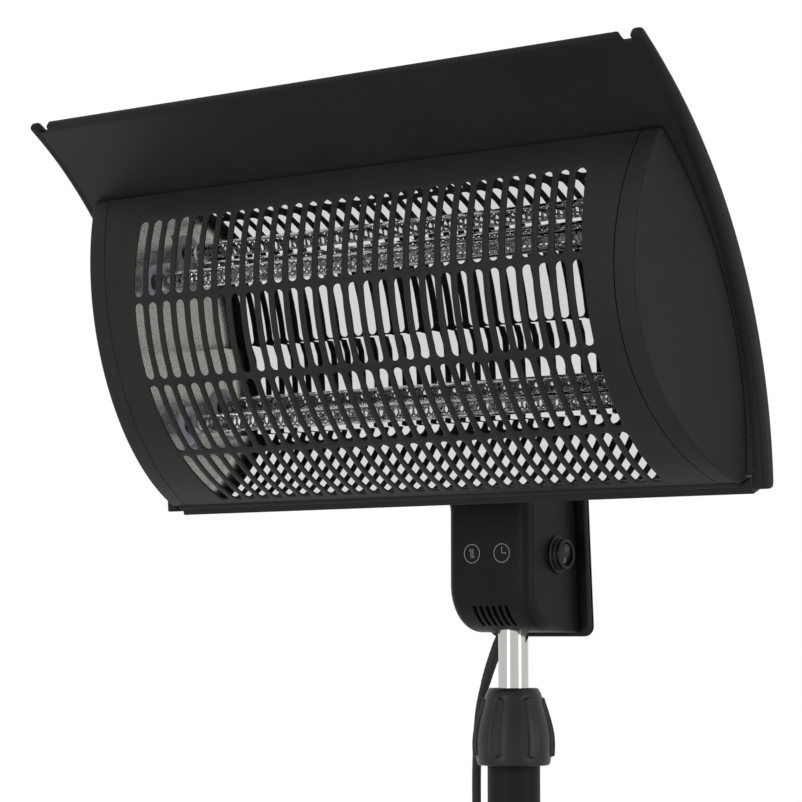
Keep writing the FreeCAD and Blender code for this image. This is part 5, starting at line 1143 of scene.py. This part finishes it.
def build_switch_signs():
    form = Form()
    angle = full_turn(32)
    radius = np.array([CIRCLE_OUTER, CIRCLE_OUTER, CIRCLE_INNER, CIRCLE_INNER])[:, None]
    out = np.array([SIGN_ROOT, CIRCLE_FACE, CIRCLE_FACE, SIGN_ROOT])[:, None]
    out = np.broadcast_to(out, (4, len(angle)))
    circle = [out, radius * CIRCLE_SQUEEZE * np.cos(angle), CIRCLE_RISE + radius * np.sin(angle)]
    form.patch(tilt_button(np.stack(circle, axis=-1)), round_rows=True, round_columns=True)
    bar = [np.insert(np.array(BAR_CORNERS), 0, face, axis=1) for face in (SIGN_ROOT, BAR_FACE)]
    form.loft(tilt_button(np.stack(bar)))
    piece("switch_signs", form, "icon_print", "switch_lever", slot="switch_plastic")


build_button()
build_switch_signs()

# %% [markdown]
# The mast and the pole
# The mast is one plain tube and the pole is two, joined end to end, but their ends and roundness are seen.
# A turned outline with many steps keeps the streaks of light on the polished tube straight.

# %% Tubes of the stand
TUBE_WALL = 1.5
TUBE_EDGE = 0.5
MAST_RADIUS = 11.4
MAST_LOW = 640.0
MAST_HIGH = 1378.0
POLE_RADIUS = 19.9
POLE_LOW = 27.0
POLE_JOINT = 500.0
POLE_HIGH = 1182.0


def plain_tube(name, node, radius, low, high, finish, body, slot=None):
    inner = radius - TUBE_WALL
    form = Form()
    wall = rounded([(inner, low), (radius, low), (radius, high), (inner, high)], TUBE_EDGE, 3)
    form.turn(wall, (0, 0, 0), "Z", 128)
    piece(name, form, finish, body, [node], slot)


plain_tube("mast_tube", "inner_tube", MAST_RADIUS, MAST_LOW, MAST_HIGH, "polished_steel", "mast")
# Both pole tubes wear a darker copy of black_metal, which is painted shade.
plain_tube("pole_top", "outer_tube_upper", POLE_RADIUS, POLE_JOINT, POLE_HIGH, "pole_coat_painted_shade", "stand",
           "black_metal")
plain_tube("pole_foot", "outer_tube_lower", POLE_RADIUS, POLE_LOW, POLE_JOINT, "pole_coat_painted_shade", "stand",
           "black_metal")

# %% [markdown]
# The twist collar
# The collar swells towards its foot and carries six raised grips with shallow panels between them. It could
# be built from separate pads, but a moulding flows from one into the other. Its radius is a smooth outline of
# height, plus a grip pattern of angle and height: a rounded rectangle with steep flanks and a fine raised
# line just inside its edge.

# %% Twist collar
COLLAR_LOW = 1168.3
COLLAR_HEIGHT = 57.8
COLLAR_STEPS = 432
GRIP_RADIUS = 27
GRIP_COUNT = 6
GRIP_START = 33.25
GRIP_HALF = 8.6
GRIP_LOW = 6.2
GRIP_HIGH = 50.6
GRIP_CORNER = 3.4
GRIP_FLANK = (-0.55, 0.45)
RIDGE_PLACE = 0.75
RIDGE_WIDTH = 0.42
RIDGE_RISE = 0.42
PANEL_DEPTH = 0.35
PANEL_LOW = (5, 9)
PANEL_HIGH = (48, 53)
SOFTENED = (3, 54)
# Pairs of a height over the collar's foot and the body's radius, the grips' rise and the bore's radius.
COLLAR_BODY = [(0, 26.3), (0.4, 26.9), (1.2, 27.4), (3, 27.9), (6, 28.3), (12, 28.8), (18, 28.9),
               (24, 28.4), (32, 26.9), (41, 24.5), (48, 22.5), (51, 21.7), (54, 20.7), (56, 19.7),
               (57.2, 18.8), (57.8, 17.9)]
GRIP_RISE = [(0, 0), (6, 1.9), (8.3, 2.3), (18, 2.2), (27, 2.1), (41, 1.7), (50, 1.2), (58, 1.0)]
COLLAR_BORE = [(57.8, 11.75), (50.3, 11.75), (36.2, 16.9), (35.2, 18.4), (16.2, 22.6), (0.0, 22.6)]


def smooth(low, high, value):
    """A smooth step from 0 to 1: 3 s s - 2 s s s."""
    share = np.clip((value - low) / (high - low), 0, 1)
    return share * share * (3 - 2 * share)


def collar_outline(height):
    """The collar's radius at each height, with the outline's corners averaged away except near its ends."""
    body_height, body_radius = np.array(COLLAR_BODY).T
    dense = np.linspace(0, COLLAR_HEIGHT, 400)
    soft = np.convolve(np.interp(dense, body_height, body_radius), np.ones(25) / 25, "same")
    radius = np.interp(height, body_height, body_radius)
    inside = (height > SOFTENED[0]) & (height < SOFTENED[1])
    radius[inside] = np.interp(height[inside], dense, soft)
    return radius


def grip_edge(angle, up):
    """Distance outside the nearest grip's outline, below zero within it: that of a rounded rectangle."""
    sector = 2 * math.pi / GRIP_COUNT
    local = (angle - math.radians(GRIP_START) + sector / 2) % sector - sector / 2
    beside = np.abs(np.degrees(local)) * math.pi / 180 * GRIP_RADIUS
    half = math.radians(GRIP_HALF) * GRIP_RADIUS
    middle = (GRIP_LOW + GRIP_HIGH) / 2
    out_side = np.maximum(beside - half + GRIP_CORNER, 0)
    out_up = np.maximum(np.abs(up - middle) - (GRIP_HIGH - GRIP_LOW) / 2 + GRIP_CORNER, 0)
    return np.sqrt(out_side ** 2 + out_up ** 2) - GRIP_CORNER


def round_grid(radius, height, angle):
    """(r cos t, r sin t, h) on a grid of heights and angles."""
    height = np.broadcast_to(height, (len(height), angle.size))
    return np.stack([radius * np.cos(angle), radius * np.sin(angle), height], axis=-1)


def build_collar():
    form = Form()
    fine = np.array([0, 0.2, 0.5, 0.9, 1.5, 2.3, 3.3, 4.4])
    middle = [np.linspace(5.2, 12, 24), np.linspace(12.8, 46, 42), np.linspace(46.8, 52, 20)]
    height = np.concatenate([fine, *middle, COLLAR_HEIGHT - fine[::-1]])
    up = height[:, None]
    angle = full_turn(COLLAR_STEPS)[None, :]
    edge = grip_edge(angle, up)
    pad = 1 - smooth(*GRIP_FLANK, edge)
    ridge = np.exp(-((edge + RIDGE_PLACE) / RIDGE_WIDTH) ** 2) * RIDGE_RISE
    panel = smooth(0, 1.5, edge) * smooth(*PANEL_LOW, up) * (1 - smooth(*PANEL_HIGH, up))
    rise = np.interp(up, *np.array(GRIP_RISE).T)
    outside = collar_outline(height)[:, None] + rise * pad + ridge - PANEL_DEPTH * panel
    bore_height, bore_radius = np.array(COLLAR_BORE).T[..., None]
    outer = round_grid(outside, COLLAR_LOW + up, angle)
    bore = round_grid(bore_radius, COLLAR_LOW + bore_height, angle)
    form.patch(np.concatenate([outer, bore]), round_rows=True, round_columns=True)
    # The collar wears a lighter, bluish copy of black_plastic, which is a painted sheen.
    piece("collar", form, "collar_plastic_painted_sheen", "lock_ring", ["lock_collar"], slot="black_plastic", sharp=60)


build_collar()

# %% [markdown]
# The base
# A heavy disc under a thin domed steel cover stands on rubber feet. The cover is a turned sheet: a rounded
# rim, a long shallow cone and a short neck round the pole.

# %% Base cover
# Pairs of a radius and a height: up the outside to the neck, and back down the inside.
BASE_PROFILE = [(220.35, 2.0), (228.0, 2.0), (228.0, 27.0), (60.0, 51.0), (27.0, 53.0), (27.0, 59.0),
                (20.25, 59.0), (20.25, 51.0), (60.0, 49.0), (212.0, 25.0), (212.0, 22.0), (220.35, 22.0)]
BASE_ROUNDS = [0.3, 1.0, 6.0, 30.0, 3.0, 1.5, 0.5, 0.5, 20.0, 1.0, 0.5, 0.5]

base = Form()
base.turn(rounded(BASE_PROFILE, BASE_ROUNDS, 8), (0, 0, 0), "Z", 160)
piece("base_dome", base, "black_metal", "stand", ["base_cover"])

# %% [markdown]
# The mains lead
# The lead hangs from the box's gland, runs down behind the collar, over the base and into a coil put away
# behind it. It is one smooth line drawn through listed control points, and its turns are more of them. A
# curve object would do for a lead that never moves; the mast can slide, and the line is swept into a mesh
# tube, which rides on no body.

# %% Mains lead
LEAD_DIAMETER = 7.0
LEAD_START = (-23.57, 16.0, 1260.04)
LEAD_POINTS = [
    (-40.5, 16.5, 1225.0), (-45.5, 17.0, 1178.0), (-46.5, 18.5, 1116.0), (-43.5, 20.5, 1030.0),
    (-43.0, 23.5, 936.0), (-47.5, 26.0, 838.0), (-49.0, 26.0, 736.0), (-45.0, 28.5, 634.0),
    (-42.5, 32.0, 532.0), (-45.0, 33.5, 438.0), (-49.0, 36.0, 346.0), (-52.0, 40.0, 262.0),
    (-56.0, 48.0, 188.0), (-61.0, 66.0, 122.0), (-64.0, 102.0, 72.0), (-63.0, 154.0, 43.5),
    (-57.0, 208.0, 36.5), (-51.0, 246.0, 22.0), (-48.7, 279.0, 3.5), (-47.9, 308.0, 3.5),
]
COIL_CENTRE = (7.0, 322.0, 3.5)
COIL_OUTER = 54.7
COIL_INNER = 31.0
LOOPS_PER_LAYER = 3
LAYER_STEP = 7.6
COIL_TAIL = 34.0
POINTS_PER_TURN = 16
BOOT_LENGTH = 34.0
BOOT_TOP = 4.45
BOOT_FOOT = 3.65
BOOT_RING = 4.25
BOOT_RELIEF = 0.12
TIE_SECTION = [(26.8, 0.1), (58.9, 0.1), (58.9, 15.3), (26.8, 15.3)]
TIE_CORNER = 5.0
TIE_THICKNESS = 0.8
TIE_HALF_WIDTH = 2
TIE_ANGLES = (48, -52)


def wound_points():
    """The coil: radius goes in and out again evenly, and the line climbs one layer about half way."""
    turn = np.arange(2 * LOOPS_PER_LAYER * POINTS_PER_TURN + 1) / POINTS_PER_TURN
    share = np.abs(turn / LOOPS_PER_LAYER - 1)
    radius = COIL_INNER + (COIL_OUTER - COIL_INNER) * share
    rise = LAYER_STEP * np.clip((turn - (LOOPS_PER_LAYER - 0.25)) / 0.5, 0, 1)
    angle = math.pi - 2 * math.pi * turn
    points = np.stack([COIL_CENTRE[0] + radius * np.cos(angle), COIL_CENTRE[1] + radius * np.sin(angle),
                       COIL_CENTRE[2] + rise], axis=1)
    along = unit(points[-1] - points[-2])
    tail = points[-1] + along * np.array([[COIL_TAIL / 2], [COIL_TAIL]])
    return np.vstack([points, tail])


def lead_line():
    """The lead's centre line in metres, read from one NURBS spline with all its points as control points."""
    route = np.vstack([[LEAD_START], LEAD_POINTS, wound_points()]) * MILLIMETRE
    data = bpy.data.curves.new("lead_route", "CURVE")
    data.dimensions = "3D"
    spline = data.splines.new("NURBS")
    spline.points.add(len(route) - 1)
    spline.points.foreach_set("co", np.hstack([route, np.ones((len(route), 1))]).ravel())
    spline.order_u = 3
    spline.use_endpoint_u = True
    spline.resolution_u = 8
    helper = bpy.data.objects.new("lead_route", data)
    bpy.context.scene.collection.objects.link(helper)
    bpy.context.view_layer.update()
    line = bpy.data.meshes.new_from_object(helper)
    points = np.zeros(len(line.vertices) * 3, np.float32)
    line.vertices.foreach_get("co", points)
    bpy.data.objects.remove(helper)
    return points.reshape(-1, 3).astype(float)


def swept(line, radius, steps=14):
    """Rings round a line: each stands square to it.

    Where the line lies, a ring's first axis is the line's direction crossed with Z, and where it stands, with
    Y. In between the two are blended, and what is left along the line is taken out.
    """
    along = unit(np.gradient(line, axis=0))
    side = np.cross(along, [0.0, 0.0, 1.0])
    flat = np.linalg.norm(side, axis=1, keepdims=True)
    upright = np.cross(along, [0.0, 1.0, 0.0])
    lying = np.clip(flat * 2 - 0.6, 0, 1)
    side = unit(side / np.maximum(flat, 1e-9) * lying + unit(upright) * (1 - lying))
    side = unit(side - along * (side * along).sum(1, keepdims=True))
    other = np.cross(along, side)
    angle = full_turn(steps)
    ring = side[:, None] * np.cos(angle)[None, :, None] + other[:, None] * np.sin(angle)[None, :, None]
    return line[:, None] + ring * np.reshape(radius, (-1, 1, 1))


line = lead_line()


def build_boot():
    """A sleeve over the lead's first centimetres, thinner downwards, with rings that let it bend."""
    run = np.concatenate([[0], np.cumsum(np.linalg.norm(np.diff(line, axis=0), axis=1))]) / MILLIMETRE
    place = np.linspace(0, BOOT_LENGTH, 91)
    centre = np.stack([np.interp(place, run, line[:, axis]) for axis in range(3)], axis=1)
    ring = 0.5 - 0.5 * np.cos(2 * math.pi * place / BOOT_RING)
    radius = BOOT_TOP + (BOOT_FOOT - BOOT_TOP) * place / BOOT_LENGTH + BOOT_RELIEF * ring
    form = Form()
    form.loft(swept(centre, radius * MILLIMETRE, 28) / MILLIMETRE)
    piece("lead_boot", form, "rubber", "mast")


def build_ties():
    """Two flat straps, each a rounded rectangle of radius and height round the coil's bundle."""
    form = Form()
    outline = rounded(TIE_SECTION, TIE_CORNER, 6)
    inside = outline + inward(outline) * TIE_THICKNESS
    sections = np.stack([outline, outline, inside, inside])
    shifts = np.array([-1, 1, 1, -1])[:, None, None] * TIE_HALF_WIDTH
    middle = np.array([COIL_CENTRE[0], COIL_CENTRE[1], 0])
    for degrees in TIE_ANGLES:
        out = np.array([math.cos(math.radians(degrees)), math.sin(math.radians(degrees)), 0])
        beside = np.array([-out[1], out[0], 0])
        rings = middle + sections[..., :1] * out + beside * shifts + sections[..., 1:] * np.array([0, 0, 1])
        form.patch(rings, round_rows=True, round_columns=True)
    return piece("coil_ties", form, "nylon", "stand")


def build_lead(ties):
    form = Form()
    form.loft(swept(line, LEAD_DIAMETER / 2 * MILLIMETRE) / MILLIMETRE)
    made = piece("lead", form, "rubber", None, ["mains_lead", "mains_coil"])
    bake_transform(made)


build_boot()
build_lead(build_ties())

# %% [markdown]
# The background
# Product pictures are taken on a white sweep. A white background could come from stronger lamps, but they
# would bleach the heater. Here the world is white only to the rays that show it, and weaker as a light, so
# colours come out as written.

# %% World
WORLD_LIGHT = 0.75


def shown(graph):
    """1 for the rays that show a background, straight, mirrored or through glass, and 0 for all others."""
    names = ("Is Camera Ray", "Is Glossy Ray", "Is Transmission Ray")
    rays = [graph.node("ShaderNodeLightPath", output=name) for name in names]
    return graph.between(rays[0] + rays[1] + rays[2], 0.0, 1.0)


def build_world():
    world = bpy.data.worlds.new("studio")
    world.use_nodes = True
    bpy.context.scene.world = world
    graph = Graph(world.node_tree)
    strength = WORLD_LIGHT + shown(graph) * (1.0 - WORLD_LIGHT)
    background = graph.tree.nodes["Background"]
    background.inputs["Color"].default_value = (1, 1, 1, 1)
    graph.tree.links.new(strength.socket, background.inputs["Strength"])


build_world()

# %% [markdown]
# The floor
# It is one large pale square. A glow of its own makes it white to the rays that show it, a little less so
# near the heater, where it keeps the shadow, and fully so from a few metres on, where it meets the white
# world with hardly an edge.

# %% Floor
FLOOR_HALF = 40.0
FLOOR_GLOW = 0.46
FLOOR_NEAR = 1.2
FLOOR_FAR = 5.0
NEAR_GLOW = (0.65, 0.65, 0.65, 1)
FAR_GLOW = (1, 1, 1, 1)
NO_GLOW = (0, 0, 0, 1)


def build_floor():
    mesh = bpy.data.meshes.new("floor")
    corners = [(-1, -1), (1, -1), (1, 1), (-1, 1)]
    mesh.from_pydata([(x * FLOOR_HALF, y * FLOOR_HALF, 0) for x, y in corners], [], [(0, 1, 2, 3)])
    finish = Finish("floor", (0.72, 0.72, 0.72), 0.8, Specular_IOR_Level=0.2)
    mottle = finish.grain(6, detail=3)
    finish.set("Base Color", finish.mix(mottle, (0.70, 0.70, 0.70, 1), (0.74, 0.74, 0.74, 1)))
    finish.set("Emission Strength", FLOOR_GLOW)
    distance = finish.node("ShaderNodeVectorMath", {"operation": "LENGTH"}, {0: finish.place}, "Value")
    glow = finish.mix(finish.between(distance, FLOOR_NEAR, FLOOR_FAR), NEAR_GLOW, FAR_GLOW)
    finish.set("Emission Color", finish.mix(shown(finish), NO_GLOW, glow))
    mesh.materials.append(finish.material)
    floor = bpy.data.objects.new("floor", mesh)
    bpy.context.scene.collection.objects.link(floor)


build_floor()

# %% [markdown]
# The lamps
# Two tall soft boxes stand to the left and right of the camera. A point lamp would leave small hot spots, but
# the long pale stripes on the polished tube come from tall lamps. Their strength is told as radiance, so that
# a wider box isn't a brighter one.

# %% Lamps
LAMP_DISTANCE = 3.0
LAMP_HEIGHT = 1.5
LAMP_TALL = 3.0


def soft_box(name, angle, width, radiance):
    """A tall soft box standing round the mast at an angle from the camera's own direction."""
    data = bpy.data.lights.new(name, "AREA")
    data.shape = "RECTANGLE"
    data.size = width
    data.size_y = LAMP_TALL
    data.energy = radiance * width * LAMP_TALL * math.pi
    turn = math.atan2(CAMERA_PLACE[1], CAMERA_PLACE[0]) + math.radians(angle)
    lamp = bpy.data.objects.new(name, data)
    lamp.location = (LAMP_DISTANCE * math.cos(turn), LAMP_DISTANCE * math.sin(turn), LAMP_HEIGHT)
    lamp.rotation_euler = (math.radians(90), 0, turn + math.radians(90))
    bpy.context.scene.collection.objects.link(lamp)


soft_box("box_right", 52, 0.9, 3.2)
soft_box("box_left", -38, 1.0, 3.0)
